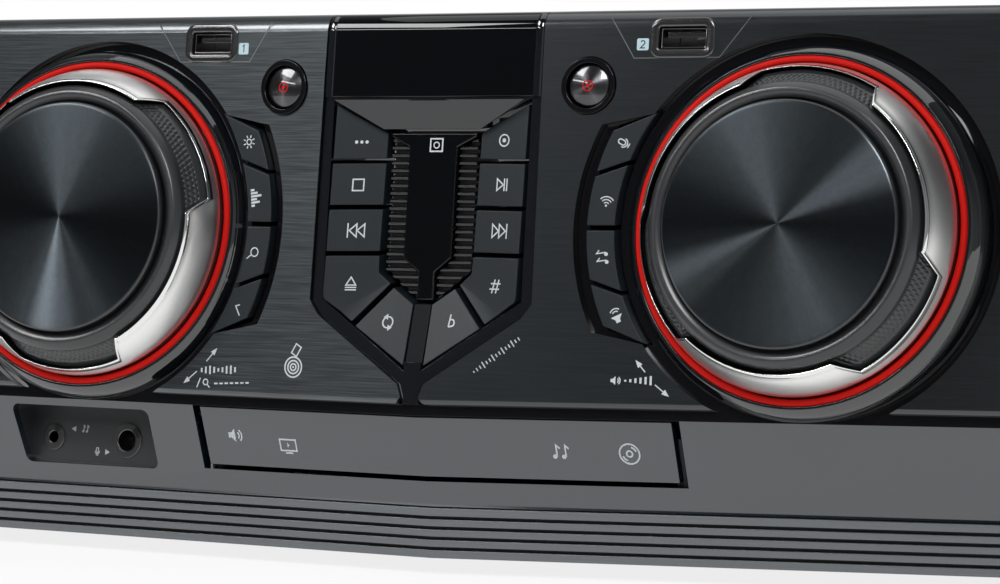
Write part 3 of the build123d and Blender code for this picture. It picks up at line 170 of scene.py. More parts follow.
# Base: ribbed plinth of fine-brushed black plastic, moulded in one piece, with four rubber feet under it and a
# plated steel plate on its floor. Every sharp moulded edge in this file is eased by a small bevel.
def finish(name, colour, rough=0.5, metal=0.0, coat=0.0, coat_rough=0.05, coat_ior=1.5, grain=0.0,
           grain_scale=900.0, stretch=(1.0, 1.0, 1.0), bump=0.0, rough_grain=0.0, specular=0.5, across=None,
           aniso=0.0):
    """Material whose noise, stretched by stretch, varies its colour by the share grain and its roughness by
    rough_grain, and raises it by bump metres. The tangent of a brushed one is the cross product of the
    surface's normal and the direction across."""
    paint = bpy.data.materials.new(name)
    paint.use_nodes = True
    tree = paint.node_tree
    shader = tree.nodes["Principled BSDF"]
    settings = {"Roughness": rough, "Metallic": metal, "Specular IOR Level": specular, "Anisotropic": aniso,
                "Coat Weight": coat, "Coat Roughness": coat_rough, "Coat IOR": coat_ior}
    for key, value in settings.items():
        shader.inputs[key].default_value = value
    place = tree.nodes.new("ShaderNodeTexCoord")
    spread = wired(tree, "ShaderNodeMapping", [("Scale", stretch)], [("Vector", place.outputs["Object"])])
    noise = wired(tree, "ShaderNodeTexNoise", [("Scale", grain_scale), ("Detail", 4.0)],
                  [("Vector", spread.outputs[0])]).outputs["Fac"]
    mix = tree.nodes.new("ShaderNodeMix")
    mix.data_type = "RGBA"
    mix.inputs["A"].default_value = (*[c * (1 - grain) for c in colour], 1)
    mix.inputs["B"].default_value = (*[min(1.0, c * (1 + grain)) for c in colour], 1)
    tree.links.new(noise, mix.inputs["Factor"])
    tree.links.new(mix.outputs["Result"], shader.inputs["Base Color"])
    if rough_grain:
        vary = scaled(tree, noise, 0.0, 1.0, rough - rough_grain, rough + rough_grain)
        tree.links.new(vary, shader.inputs["Roughness"])
    if bump:
        relief = wired(tree, "ShaderNodeBump", [("Distance", bump)], [("Height", noise)])
        tree.links.new(relief.outputs[0], shader.inputs["Normal"])
    if across:
        facing = tree.nodes.new("ShaderNodeNewGeometry")
        cross = vector(tree, "CROSS_PRODUCT", facing.outputs["Normal"], across)
        tree.links.new(cross.outputs[0], shader.inputs["Tangent"])
    return paint


def dressed(mesh, paints, choose=None):
    """Gives a mesh its finishes. choose takes the faces' centres in mm and returns each face's finish."""
    mesh.materials.clear()
    for each in paints:
        mesh.materials.append(each)
    if choose:
        centres = np.empty(len(mesh.polygons) * 3)
        mesh.polygons.foreach_get("center", centres)
        picked = choose(centres.reshape(-1, 3) / mm)
        mesh.polygons.foreach_set("material_index", picked.astype(np.int32))


def within(value, low, high):
    """Where a value lies between two others."""
    return (value > low) & (value < high)


def placed(name, mesh, body, stands_for=()):
    """Object for a mesh, riding on its body, in the place of the CAD nodes that it stands for."""
    piece = link(bpy.data.objects.new(name, mesh))
    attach(piece, body)
    if stands_for:
        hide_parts(*stands_for)
    return piece


def eased(name, paint, width=0.3, steps=2, body="chassis", more=(), choose=None, setback=None):
    """Copy of a CAD node with its triangles merged into flat faces and its sharp edges rounded by width mm.
    setback gives how far each point moves back into the piece, in mm."""
    same_point, same_plane, sharp = 2e-6, math.radians(0.4), math.radians(28.0)
    mesh = bpy.data.meshes.new(f"{name}_eased")
    work = bmesh.new()
    work.from_mesh(node[name].data)
    bmesh.ops.remove_doubles(work, verts=work.verts, dist=same_point)
    if setback:
        at = np.array([point.co for point in work.verts]) / mm
        for point, back in zip(work.verts, setback(at)):
            point.co.y += back * mm
    bmesh.ops.dissolve_limit(work, angle_limit=same_plane, verts=work.verts, edges=work.edges)
    for face in work.faces:
        face.smooth = True
        face.material_index = 0
    work.to_mesh(mesh)
    work.free()
    dressed(mesh, (paint, *more), choose)
    piece = placed(f"{name}_eased", mesh, body, [name])
    bevel = piece.modifiers.new("edge", "BEVEL")
    bevel.width = width * mm
    bevel.segments = steps
    bevel.limit_method = "ANGLE"
    bevel.angle_limit = sharp
    bevel.miter_outer = "MITER_ARC"
    flat = piece.modifiers.new("flat_faces", "WEIGHTED_NORMAL")
    flat.keep_sharp = True
    flat.weight = 80
    return piece


plinth_black = finish("plinth_black", (0.05, 0.06, 0.068), rough=0.4, coat=1.0, coat_rough=0.12, coat_ior=1.8,
                      grain=0.3, grain_scale=1.0, stretch=(30, 60, 2500), bump=0.000006)
# Painted shade: the groove faces get a darker, duller colour than the bands, for the shade in them
groove_painted_shade = finish("groove_shade", (0.022, 0.023, 0.025), rough=0.6, specular=0.25, grain=0.1)
rubber = finish("foot_rubber", (0.03, 0.03, 0.03), rough=0.8, grain=0.2, bump=0.00004)
plated = finish("plated_steel", (0.55, 0.56, 0.57), rough=0.38, metal=1.0, grain=0.12, grain_scale=60,
                rough_grain=0.06)
groove_low, groove_pitch, groove_high, groove_count = 7.25, 2.95, 1.0, 4


def plinth_parts(at):
    """0 bands, 1 the faces of the grooves, found by their height, which are painted darker as shade."""
    above = at[:, 2] - groove_low
    return (within(above, 0, groove_count * groove_pitch) & (above % groove_pitch < groove_high)).astype(int)


eased("plinth", plinth_black, width=0.12, steps=1, more=(groove_painted_shade,), choose=plinth_parts)
dressed(node["feet"].data, [rubber])
dressed(node["chassis_plate"].data, [plated])

# Works on the base: main and key boards of green laminate with black chips and steel switches, a varnished
# supply with a laminated core and three capacitors, and an extruded aluminium sink before the fan.
laminate = finish("board_green", (0.02, 0.11, 0.05), rough=0.35, coat=0.6, coat_rough=0.15, grain=0.25,
                  grain_scale=300)
chip_black = finish("chip_black", (0.02, 0.02, 0.022), rough=0.5, grain=0.2, grain_scale=1500, bump=0.00001)
nickel = finish("nickel", (0.6, 0.6, 0.58), rough=0.3, metal=1.0, grain=0.08)
core_steel = finish("core_laminations", (0.16, 0.15, 0.14), rough=0.5, metal=0.7, grain=0.4, grain_scale=1.0,
                    stretch=(20, 20, 2500), bump=0.00003)
sleeve = finish("capacitor_sleeve", (0.02, 0.025, 0.04), rough=0.35, coat=0.4, grain=0.15, grain_scale=200)
winding = finish("winding_tape", (0.55, 0.42, 0.05), rough=0.45, grain=0.15, grain_scale=250)
sink_metal = finish("sink_aluminium", (0.62, 0.63, 0.64), rough=0.34, metal=1.0, grain=0.12, grain_scale=1.0,
                    stretch=(900, 12, 900), rough_grain=0.05)
main_board_front, chip_foot, post_top, switch_back = -95, 15.95, 14.0, -127.9
supply_foot, core_middle, core_half, core_back, coil_back = 15.85, (145.0, 20.0), (33.2, 27.2), 50.0, 60.0


def board_parts(at):
    """0 laminate, 1 chips on the main board, 2 switches, knob shafts and posts."""
    deep, high = at[:, 1], at[:, 2]
    steel = (deep < switch_back) | ((deep > main_board_front) & (high < post_top))
    return np.where((deep > main_board_front) & (high > chip_foot), 1, np.where(steel, 2, 0))


def supply_parts(at):
    """0 board and posts, 1 core, 2 winding, 3 capacitor sleeves."""
    deep, above = at[:, 1], at[:, 2] > supply_foot
    inside = (np.abs(at[:, :2] - core_middle) <= core_half).all(axis=1)
    core = above & (deep < core_back) & inside
    return np.where(core, 1, np.where(above & (deep < coil_back), 2, np.where(above, 3, 0)))


dressed(node["circuit_boards"].data, (laminate, chip_black, nickel), board_parts)
dressed(node["power_supply"].data, (laminate, core_steel, winding, sleeve), supply_parts)
dressed(node["heat_sink"].data, [sink_metal])

# Cover: steel sheet folded over the top and sides, pressed with vents and powder-coated black like the rear
# panel, which carries the fan grille. Blackened screws hold them all round.
powder = finish("powder_coat", (0.022, 0.022, 0.023), rough=0.55, grain=0.3, grain_scale=1400, bump=0.00005)
fan_black = finish("fan_plastic", (0.02, 0.02, 0.021), rough=0.45, grain=0.15, bump=0.00001)
eased("top_cover", powder, width=0.2)
eased("rear_panel", powder, width=0.15)
for name in ("fan_frame", "fan_rotor"):
    dressed(node[name].data, [fan_black])

# Rear sockets: one black plate with speaker clamps on the right, phono sockets in rows at the left, seen from
# the front, and the mains inlet with its two pins at the far right.
red_plastic = finish("red_plastic", (0.45, 0.015, 0.012), rough=0.35, coat=0.4, grain=0.08)
white_plastic = finish("white_plastic", (0.7, 0.7, 0.68), rough=0.4, coat=0.3, grain=0.04)
phono_edge, phono_low, phono_face, phono_middle, barrel_face = -48, 80, 165.05, -69, 166.6
white_x, phono_z, phono_pitch, ring_r = -58, 103, 22, 7.2
clamp_x, clamp_split, clamp_face = (-40, 60), 87, 165.3
inlet_x, inlet_face, pin_z, pin_half = 100, 164, 50, 1.4


def rear_parts(at):
    """0 black plate, 1 nickel barrels and pins, 2 red rings and clamps, 3 white rings."""
    x, y, z = at.T
    phono = (x < phono_edge) & (z > phono_low)
    pins = (x > inlet_x) & (y < inlet_face) & (np.abs(z - pin_z) < pin_half)
    barrel = (x < phono_edge) & (y > barrel_face) | pins
    red_clamp = within(x, *clamp_x) & (z > clamp_split) & (y > clamp_face)
    red = phono & (x < phono_middle) & (y > phono_face) | red_clamp
    from_row = (z - phono_z) % phono_pitch - phono_pitch / 2
    ring = phono & (x > phono_middle) & (y > phono_face) & (np.hypot(x - white_x, from_row) < ring_r)
    return np.where(barrel, 1, np.where(red, 2, np.where(ring, 3, 0)))


dressed(node["rear_sockets"].data, (fan_black, nickel, red_plastic, white_plastic), rear_parts)


# Screws of the rear panel and the cover: blackened steel with domed heads and a cross recess, driven into the
# folded edges of the sheet. The heads stand for the shanks, which don't show.
def skin(name, grid, paint, body, wrap=(False, False), stands_for=(), closed=True, paints=(), pick=None):
    """Surface through a grid of points in mm, (rows, columns, 3). wrap joins the last row or column to the
    first. The map "place" holds each corner's row and column as shares of the grid. pick gives a face's finish
    by its row and column."""
    rows, columns = grid.shape[:2]
    index = np.arange(rows * columns).reshape(rows, columns)
    a, b = np.meshgrid(np.arange(rows - (not wrap[0])), np.arange(columns - (not wrap[1])), indexing="ij")
    steps = ((0, 0), (1, 0), (1, 1), (0, 1))
    faces = np.stack([index[(a + i) % rows, (b + j) % columns] for i, j in steps], -1).reshape(-1, 4)
    share = np.stack([np.stack([(a + i) / rows, (b + j) / (columns - 1)], -1) for i, j in steps], -2)
    mesh = bpy.data.meshes.new(name)
    mesh.from_pydata((grid.reshape(-1, 3) * mm).tolist(), [], faces.tolist())
    mesh.uv_layers.new(name="place").data.foreach_set("uv", share.astype(np.float32).ravel())
    mesh.shade_smooth()
    dressed(mesh, (paint, *paints))
    if pick is not None:
        mesh.polygons.foreach_set("material_index", pick(a, b).ravel().astype(np.int32))
    work = bmesh.new()
    work.from_mesh(mesh)
    bmesh.ops.remove_doubles(work, verts=work.verts, dist=1e-7)
    if closed:
        bmesh.ops.recalc_face_normals(work, faces=work.faces)
    work.to_mesh(mesh)
    work.free()
    return placed(name, mesh, body, stands_for)


def joined(pieces, name, body, stands_for):
    """One piece made of several skins, with their faces kept as they are."""
    work = bmesh.new()
    for each in pieces:
        work.from_mesh(each.data)
    mesh = pieces[0].data.copy()
    mesh.name = name
    work.to_mesh(mesh)
    work.free()
    for each in pieces:
        bpy.data.objects.remove(each)
    return placed(name, mesh, body, stands_for)


def screw_head(name, spot, right, out, radius):
    """Domed head with a cross recess: the height falls with the fourth power of the radius, and drops where
    either arm of the cross covers the point. It ends under the sheet and closes at both poles."""
    r = np.array([0, 0.08, 0.16, 0.24, 0.34, 0.44, 0.52, 0.56, 0.62, 0.75, 0.88, 0.96, 1, 1, 0]) * radius
    turn = np.linspace(0, 2 * np.pi, 48, endpoint=False)
    x, y = np.outer(np.cos(turn), r), np.outer(np.sin(turn), r)
    dome = head_high * (1 - 0.45 * (r / radius) ** 4)
    dome[-3:] = (head_high * 0.35, under_sheet, under_sheet)
    arm = np.minimum(np.abs(x), np.abs(y)) < 0.16 * radius
    lift = dome[None, :] - np.where(arm & (r <= 0.53 * radius), recess_share * head_high, 0.0)
    grid = spot + x[..., None] * np.array(right) + y[..., None] * upward + lift[..., None] * np.array(out)
    return skin(name, grid, screw_black, "chassis", (True, False))


screw_black = finish("blackened_steel", (0.09, 0.09, 0.095), rough=0.38, metal=1.0, grain=0.15)
upward, head_high, recess_share, under_sheet = np.array([0, 0, 1.0]), 1.6, 0.55, -0.5
side_x, back_y, low_row, top_row = 219.0, 165.0, 27.0, 145.7
fan_x, fan_z, fan_screw = -150, 92, 35.75
rear_places = [(x, low_row) for x in (-210, -105, 0, 105, 210)] + [(x, top_row) for x in (-210, -70, 70, 210)]
rear_places += [(x, z) for z in (55, 135) for x in (-90, -17.5, 55)]
rear_places += [(fan_x + dx, fan_z + dz) for dx in (-fan_screw, fan_screw) for dz in (-fan_screw, fan_screw)]
side_places = [(y, z) for y in (-60.1, 125) for z in (60, 130)]
heads = []
for n, (x, z) in enumerate(rear_places):
    heads.append(screw_head(f"head_{n}", (x, back_y, z), (-1, 0, 0), (0, 1, 0), 3.2))
for side in (-1, 1):
    for n, (y, z) in enumerate(side_places):
        at = (side * side_x, y, z)
        heads.append(screw_head(f"side_head_{side + 1}_{n}", at, (0, side, 0), (side, 0, 0), 4.0))
joined(heads, "screw_heads", "chassis", ["screws"])

# Loader: moulded grey-black frame with a white acetal gear, plated guide and lead screw, motors in steel cans,
# and the spindle with its turntable under the clamp that hangs in the bridge.
loader_grey = finish("loader_plastic", (0.05, 0.05, 0.052), rough=0.5, grain=0.15, grain_scale=1200,
                     bump=0.00001)
acetal = finish("acetal_white", (0.7, 0.69, 0.64), rough=0.4, grain=0.04)
clamp_grey = finish("clamp_plastic", (0.12, 0.12, 0.125), rough=0.45, grain=0.1)
sled_black = finish("sled_plastic", (0.03, 0.03, 0.03), rough=0.45, grain=0.1)
lens_glass = finish("lens_glass", (0.02, 0.03, 0.06), rough=0.05, coat=1.0, coat_ior=1.8, grain=0.05)
lens_foot, lens_half = 32.55, 3.7
eased("loader_frame", loader_grey, width=0.3)
eased("tray_gear", acetal, width=0.12, body="tray_gear")
eased("turntable", clamp_grey, width=0.15, body="turntable")
eased("disc_clamp", clamp_grey, width=0.2, body="disc_clamp")
eased("pickup_sled", sled_black, width=0.2, body="pickup_sled", more=(lens_glass,),
      choose=lambda at: ((at[:, 2] > lens_foot) & (np.abs(at[:, 0]) < lens_half)).astype(int))
for name in ("sled_screw", "loader_motors"):
    dressed(node[name].data, [nickel])


# Disc tray: satin black carrier with stepped recesses for both disc sizes, and the door on its front, which is
# gloss black and stands flush with the fascia.
def gloss(name, colour, coat_ior, coat_rough=0.03, grain=0.1):
    """Polished black plastic: only its clear skin mirrors the room, the more strongly the higher its index."""
    return finish(name, colour, rough=0.5, specular=0.0, coat=1.0, coat_rough=coat_rough, coat_ior=coat_ior,
                  grain=grain)


tray_black = finish("tray_plastic", (0.02, 0.02, 0.021), rough=0.38, grain=0.15, grain_scale=1500,
                    bump=0.000008)
piano = gloss("piano_black", (0.004, 0.005, 0.0065), 1.95)
fascia_black = gloss("fascia_black", (0.003, 0.009, 0.016), 2.05)
eased("disc_tray", tray_black, width=0.3, body="tray")
eased("tray_door", fascia_black, width=0.35, steps=3, body="tray")

# Lower fascia: gloss black moulding that draws in towards the floor, with the tray's slot and the jack recess,
# a satin tub behind it. The two audio jacks have gloss rims and plated sleeves; the USB shells are steel.
recess_black = finish("recess_plastic", (0.03, 0.031, 0.033), rough=0.42, coat=0.3, coat_rough=0.3, grain=0.15,
                      bump=0.000008)
socket_black = finish("socket_plastic", (0.012, 0.012, 0.013), rough=0.25, coat=1.0, coat_rough=0.06,
                      coat_ior=1.7, grain=0.1)
sleeve_metal = finish("jack_sleeve", (0.24, 0.24, 0.242), rough=0.25, metal=1.0, grain=0.1)
shell_steel = finish("shell_steel", (0.3, 0.3, 0.3), rough=0.28, metal=1.0, grain=0.1)
jack_z, small_jack, large_jack, jack_lip, rim_back = 33.4, (-135.6, 1.75), (-108.2, 3.175), 0.5, -142.5
usb_x, usb_z, tongue_half, tongue_low, tongue_high, jacks_below = 74.9, 152.4, 5.5, 152.25, 154.2, 60


def socket_parts(at):
    """0 steel shells, 1 black rims and tongues, 2 the jacks' plated sleeves."""
    x, y, z = at.T
    tongue = (np.abs(np.abs(x) - usb_x) < tongue_half) & within(z, tongue_low, tongue_high)
    from_bores = [np.hypot(x - jack_x, z - jack_z) - r for jack_x, r in (small_jack, large_jack)]
    bore = np.min(from_bores, axis=0) < jack_lip
    jack = z < jacks_below
    return np.where(jack & bore & (y > rim_back), 2, np.where(jack | tongue, 1, 0))


eased("fascia", fascia_black, width=0.35, steps=3)
eased("jack_panel", recess_black, width=0.3)
eased("front_sockets", shell_steel, width=0.22, more=(socket_black, sleeve_metal),
      choose=socket_parts)

# Front moulding: gloss black frame, and on it two panels of dark hairline-brushed metal, thin shells with a
# rolled top, side and foot. The film is brushed along the unit, so highlights draw out up and down it.
frame_black = gloss("frame_black", (0.004, 0.004, 0.005), 1.6, coat_rough=0.04)
eased("front_frame", frame_black, width=0.35, steps=3)
# Lit and shaded copies of one film: the left one is painted lighter with stronger hairlines, the right one
# darker.
for side, colour, grain in (("left", (0.06, 0.068, 0.073), 0.9), ("right", (0.034, 0.039, 0.043), 0.3)):
    painted_light_film = finish(f"brushed_film_{side}", colour, rough=0.34, metal=1.0, coat=1.0, coat_rough=0.16,
                  coat_ior=1.6, grain=grain, grain_scale=1.0, stretch=(60.0, 160.0, 2600.0), bump=0.000004,
                  rough_grain=0.05, across=(1, 0, 0), aniso=0.6)
    eased(f"panel_{side}", painted_light_film, width=0.35, steps=3)


# Surrounds of the two USB openings: gloss black rings pressed through the panels, with a low rounded lip.
def run(degrees):
    """Rise of a slope over its length."""
    return math.tan(math.radians(degrees))


def panel_y(x, z, set_back=0.0):
    """Depth of the panels' face: it leans back with height and runs back from the middle."""
    return nose_y + set_back + np.abs(x) * sweep_run + (z - knob_z) * lean_run


def rounded_loop(half_wide, half_high, corner, steps=12):
    """Corner centres and outward directions round a rounded rectangle, so that centre + distance * direction
    gives it at any distance from the corner centres."""
    turn = np.radians((np.arange(4)[:, None] * 90 + np.linspace(0, 90, steps)[None, :]).ravel())
    way = np.stack([np.cos(turn), np.sin(turn)], -1)
    quarter = np.repeat(np.arange(4), steps)
    centre = np.stack([np.where((quarter == 0) | (quarter == 3), 1, -1) * (half_wide - corner),
                       np.where(quarter < 2, 1, -1) * (half_high - corner)], -1)
    return centre, way


lean = 10.0
nose_y, knob_x, knob_z, lean_run, sweep_run = -159.0913, 112.5, 100.0, run(lean), run(5.8)
usb_half, usb_corner = (6.9, 3.15), 0.8
lip = np.array([(0.0, -2.6), (0.0, 0.0), (0.12, 0.28), (0.45, 0.42), (1.9, 0.42), (2.3, 0.3), (2.5, 0.0),
                (2.5, -0.6), (1.2, -2.6)])
for side, sign_x in (("left", -1), ("right", 1)):
    centre, way = rounded_loop(*usb_half, usb_corner)
    spot = centre[:, None, :] + way[:, None, :] * (usb_corner + lip[None, :, :1])
    x, z = sign_x * usb_x + spot[..., 0], usb_z + spot[..., 1]
    skin(f"usb_surround_{side}", np.stack([x, panel_y(x, z) - lip[None, :, 1], z], -1), socket_black,
         "chassis", (True, True))


# Printed and engraved marks on the panels: thin prints in pale grey, each a ribbon or a filled shape that lies
# on its surface. Arrows stand beside the knobs and numbers beside the sockets, with plain signs and scales.
def ribbon(points, wide):
    """Two edges of a band of one width along a line, mitred at its corners and square at its ends."""
    points = np.asarray(points, float)
    closed = np.allclose(points[0], points[-1])
    step = np.diff(points, axis=0)
    step /= np.linalg.norm(step, axis=1, keepdims=True)
    before = np.vstack([step[-1:] if closed else step[:1], step])
    after = np.vstack([step, step[:1] if closed else step[-1:]])
    across = np.stack([-(before + after)[:, 1], (before + after)[:, 0]], -1)
    across /= np.maximum(np.linalg.norm(across, axis=1, keepdims=True), 1e-9)
    side_of = np.stack([-after[:, 1], after[:, 0]], -1)
    sharpest = 0.4
    reach = wide / 2 / np.maximum((across * side_of).sum(1, keepdims=True), sharpest)
    return np.stack([points + across * reach, points - across * reach], 1)


def printed(name, lines, shapes, depth, paint, slot, body="chassis", proud=0.06):
    """Thin print: ribbons along lines, each (points, width), and filled convex shapes, in front-view mm."""
    spots, faces, count = [], [], 0
    for points, wide in lines:
        spots.append(ribbon(points, wide).reshape(-1, 2))
        start = np.arange(count, count + len(spots[-1]) - 2, 2)
        faces += np.stack([start, start + 1, start + 3, start + 2], -1).tolist()
        count += len(spots[-1])
    for points in shapes:
        spots.append(np.asarray(points, float))
        faces.append(list(range(count, count + len(points))))
        count += len(points)
    spots = np.vstack(spots)
    at = np.stack([spots[:, 0], depth(spots[:, 0], spots[:, 1]) - proud, spots[:, 1]], -1) * mm
    mesh = bpy.data.meshes.new(name)
    mesh.from_pydata(at.tolist(), [], faces)
    mesh.materials.append(paint)
    work = bmesh.new()
    work.from_mesh(mesh)
    bmesh.ops.remove_doubles(work, verts=work.verts, dist=1e-7)
    work.normal_update()
    bmesh.ops.reverse_faces(work, faces=[face for face in work.faces if face.normal.y > 0])
    work.to_mesh(mesh)
    work.free()
    sunk = 0.01
    thick = placed(name, mesh, body).modifiers.new("thickness", "SOLIDIFY")
    thick.thickness = (proud + sunk) * mm
    thick.offset = -1


def arc(x, y, r, start, end, steps=16):
    """Points of an arc, angles in degrees."""
    turn = np.radians(np.linspace(start, end, steps))
    return np.stack([x + r * np.cos(turn), y + r * np.sin(turn)], -1)


def circle(x, y, r, steps=17):
    """Points of a circle, the last one on the first."""
    return arc(x, y, r, 0, 360, steps)


def dot(x, y, r, steps=12):
    """Corners of a small filled disc."""
    return arc(x, y, r, 0, 330, steps)


def box(x0, y0, x1, y1):
    """Corners of a box."""
    return np.array([(x0, y0), (x1, y0), (x1, y1), (x0, y1)])


def shut(points):
    """Points with the first one again at the end."""
    return np.vstack([points, points[:1]])


def upright(x, high):
    """Upright line, as far below the middle as above it."""
    return [(x, -high), (x, high)]


def level(y, half):
    """Level line about the middle."""
    return [(-half, y), (half, y)]


def skip(way):
    """Two triangles and a bar, pointing right for 1 and left for -1."""
    lean_to = [shut(wedge * (0.85 * way, 0.8) + (start * way, 0)) for start in (-0.75, 0.25)]
    return [*lean_to, upright(0.95 * way, 0.9)], []


def quaver(x):
    """Line and filled head of a quaver at x."""
    return [(x + 0.28, -0.62), (x + 0.28, 0.9), (x + 0.75, 0.45)], dot(x, -0.62, 0.3)


# Signs in a square of -1 to 1: lines to be drawn with one width, and filled shapes
wedge = np.array([(-0.5, -1), (0.6, 0), (-0.5, 1)])
tip = np.array([(0.1, -1.25), (0.75, -0.75), (0.05, -0.35)])
horn = np.array([(-0.95, -0.35), (-0.5, -0.35), (0.1, -0.9), (0.1, 0.9), (-0.5, 0.35), (-0.95, 0.35)])
bar_tops = (-0.3, 0.3, 1.0, 0.1, 0.6, -0.4)
rays = [np.outer((0.65, 1.05), arc(0, 0, 1, a, a, 1)) for a in range(0, 360, 45)]
signs = {
    "stop": ([shut(box(-1, -1, 1, 1))], []),
    "play": ([shut([(-1.0, -1.0), (0.35, 0), (-1.0, 1.0)]), upright(0.55, 1.1), upright(1.1, 1.1)], []),
    "forward": skip(1),
    "back": skip(-1),
    "eject": ([shut([(-0.8, -0.25), (0.8, -0.25), (0.0, 1.0)]), level(-0.62, 0.9), level(-1.0, 0.9)], []),
    "sharp": ([[(-0.55, -1), (-0.05, 1)], [(0.15, -1), (0.65, 1)], [(-0.95, -0.4), (0.75, -0.4)],
               [(-0.75, 0.4), (0.95, 0.4)]], []),
    "flat": ([[(-0.35, 1), (-0.55, -0.95)],
              np.vstack([arc(-0.1, -0.35, 0.55, 140, -60, 12), [(-0.55, -0.95)]])], []),
    "ring": ([circle(0, 0, 0.95, 25)], [dot(0, 0, 0.35)]),
    "cycle": ([arc(0, 0, 0.8, 100, 300), arc(0, 0, 0.8, -80, 120)], [tip, -tip]),
    "three": ([], [dot(x, 0, 0.28) for x in (-0.9, 0, 0.9)]),
    "sun": ([circle(0, 0, 0.42, 19), *rays], []),
    "bars": ([], [box(x - 0.17, -1, x + 0.17, top) for x, top in zip(np.arange(-1.2, 1.5, 0.5), bar_tops)]),
    "lens": ([circle(-0.25, 0.25, 0.65, 21), [(0.22, -0.25), (0.95, -0.98)]], []),
    "tick": ([[(-0.8, -0.05), (-0.2, -0.75), (0.95, 0.8)]], []),
    "voice": ([np.vstack([arc(0, 0.5, 0.38, 0, 180, 9), arc(0, -0.05, 0.38, 180, 360, 9), [(0.38, 0.5)]]),
               arc(0, -0.05, 0.72, 180, 360, 11), [(0, -0.77), (0, -1.1)], level(-1.1, 0.4)], []),
    "echo": ([arc(-1.0, 0, r, -50, 50, steps) for r, steps in ((0.55, 7), (1.05, 9), (1.55, 11))],
             [dot(-1.0, 0, 0.2, 10)]),
    "notes": tuple(zip(quaver(-0.7), quaver(0.5))),
    "one": ([[(-0.35, 0.6), (0.1, 1.0), (0.1, -1.0)]], []),
    "two": ([np.vstack([arc(0, 0.42, 0.56, 165, -25, 11), [(-0.6, -0.95), (0.62, -0.95)]])], []),
    "speaker": ([arc(0.2, 0, 0.55, -50, 50, 7), arc(0.2, 0, 0.95, -50, 50, 9)], [horn]),
    "screen": ([shut(box(-1.3, -0.65, 1.3, 0.95)), level(-1.0, 0.6)], [wedge * 0.35 + (0.05, 0.15)]),
    "disc": ([circle(0, 0, 1.0, 33), circle(0, 0, 0.3), arc(0, 0, 0.72, 20, 70, 7),
              arc(0, 0, 0.72, 200, 250, 7)], []),
}


def sign(name, at, size, wide, turn=0.0):
    """Lines and shapes of a sign, size mm from middle to edge, turned by degrees and moved to its place."""
    c, s = math.cos(math.radians(turn)), math.sin(math.radians(turn))
    spin = np.array([[c, s], [-s, c]])
    lines, shapes = signs[name]
    return ([(np.asarray(line, float) * size @ spin + at, wide) for line in lines],
            [np.asarray(shape, float) * size @ spin + at for shape in shapes])


def gathered(*parts):
    """Lines and shapes of several signs."""
    return [line for lines, _ in parts for line in lines], [shape for _, shapes in parts for shape in shapes]


def directions(start, end):
    """Both ends as arrays, the direction from one to the other, and the one square to it."""
    start, end = np.array(start, float), np.array(end, float)
    way = (end - start) / np.linalg.norm(end - start)
    return start, end, way, np.array([-way[1], way[0]])


def arrow(tail, tip):
    """Line with a filled head at its tip."""
    tail, tip, way, square = directions(tail, tip)
    head, slim, wide = 2.2, 0.36, 0.3
    foot, barb = tip - way * head, square * head * slim
    return [(np.array([tail, foot]), wide)], [np.array([tip, foot + barb, foot - barb])]


def along(start, end, height, shares, wide):
    """Row of short upright bars from start to end, each as high as its share of height: a plain scale."""
    start, end, _, square = directions(start, end)
    middles = start + (end - start) * np.linspace(0, 1, len(shares))[:, None]
    return [(np.array([at - square * height * h / 2, at + square * height * h / 2]), wide)
            for at, h in zip(middles, shares)], []


print_pale = finish("pale_print", (0.5, 0.53, 0.55), rough=0.5, grain=0.05)
badge_pale = finish("badge_print", (0.42, 0.55, 0.6), rough=0.45, grain=0.04)
print_dark = finish("dark_print", (0.01, 0.01, 0.012), rough=0.5, grain=0.05)
scribed = finish("scribed_line", (0.2, 0.21, 0.22), rough=0.3, metal=0.8, grain=0.2, grain_scale=200)
touch_at, card_at = (-39.35, 59.55), (-38.6, 64.4)
rings = [(circle(*touch_at, r, 33), 0.42) for r in (0.95, 1.85, 2.85)], [dot(*touch_at, 0.3, 10)]
card = [(shut(box(-1.5, -1.0, 1.5, 1.0) @ np.array([[0.5, 0.87], [-0.87, 0.5]]) + card_at), 0.35)], []
stroke = [(np.array([(-72.6, 52.6), (-71.5, 55.3)]), 0.32)], []
wave_shares, rising_shares = (0.5, 0.8, 1, 0.7, 0.4, 0.6, 0.9, 1, 0.6), (0.2, 0.35, 0.5, 0.65, 0.8, 1.0)
left_marks = gathered(arrow((-69.7, 60.2), (-66.2, 64.1)), arrow((-72.9, 57.2), (-77.4, 53.6)),
                      along((-71.2, 57.6), (-59.5, 58.1), 2.4, wave_shares, 0.55),
                      sign("lens", (-69.3, 53.9), 1.25, 0.32), stroke,
                      along((-65.9, 53.9), (-55.0, 54.5), 0.45, (1,) * 7, 1.1), rings, card)
right_marks = gathered(arrow((69.2, 60.6), (66.2, 63.9)), arrow((72.2, 57.2), (76.4, 54.0)),
                       sign("speaker", (60.6, 58.2), 1.3, 0.3),
                       along((63.6, 58.2), (70.9, 58.35), 2.5, rising_shares, 0.6),
                       along((19.2, 59.9), (31.9, 69.2), 2.0, (0.25, 0.5, 0.5) + (1, 0.5, 0.5) * 4, 0.32))
badge_x, badge_z = 63.45, 150.75
scribed_corners = [(54.0, 158.3), (61.1, 146.95), (85.7, 146.95), (94.4, 158.3)]
printed("left_panel_marks", *left_marks, panel_y, print_pale, "panel")
printed("right_panel_marks", *right_marks, panel_y, print_pale, "panel")
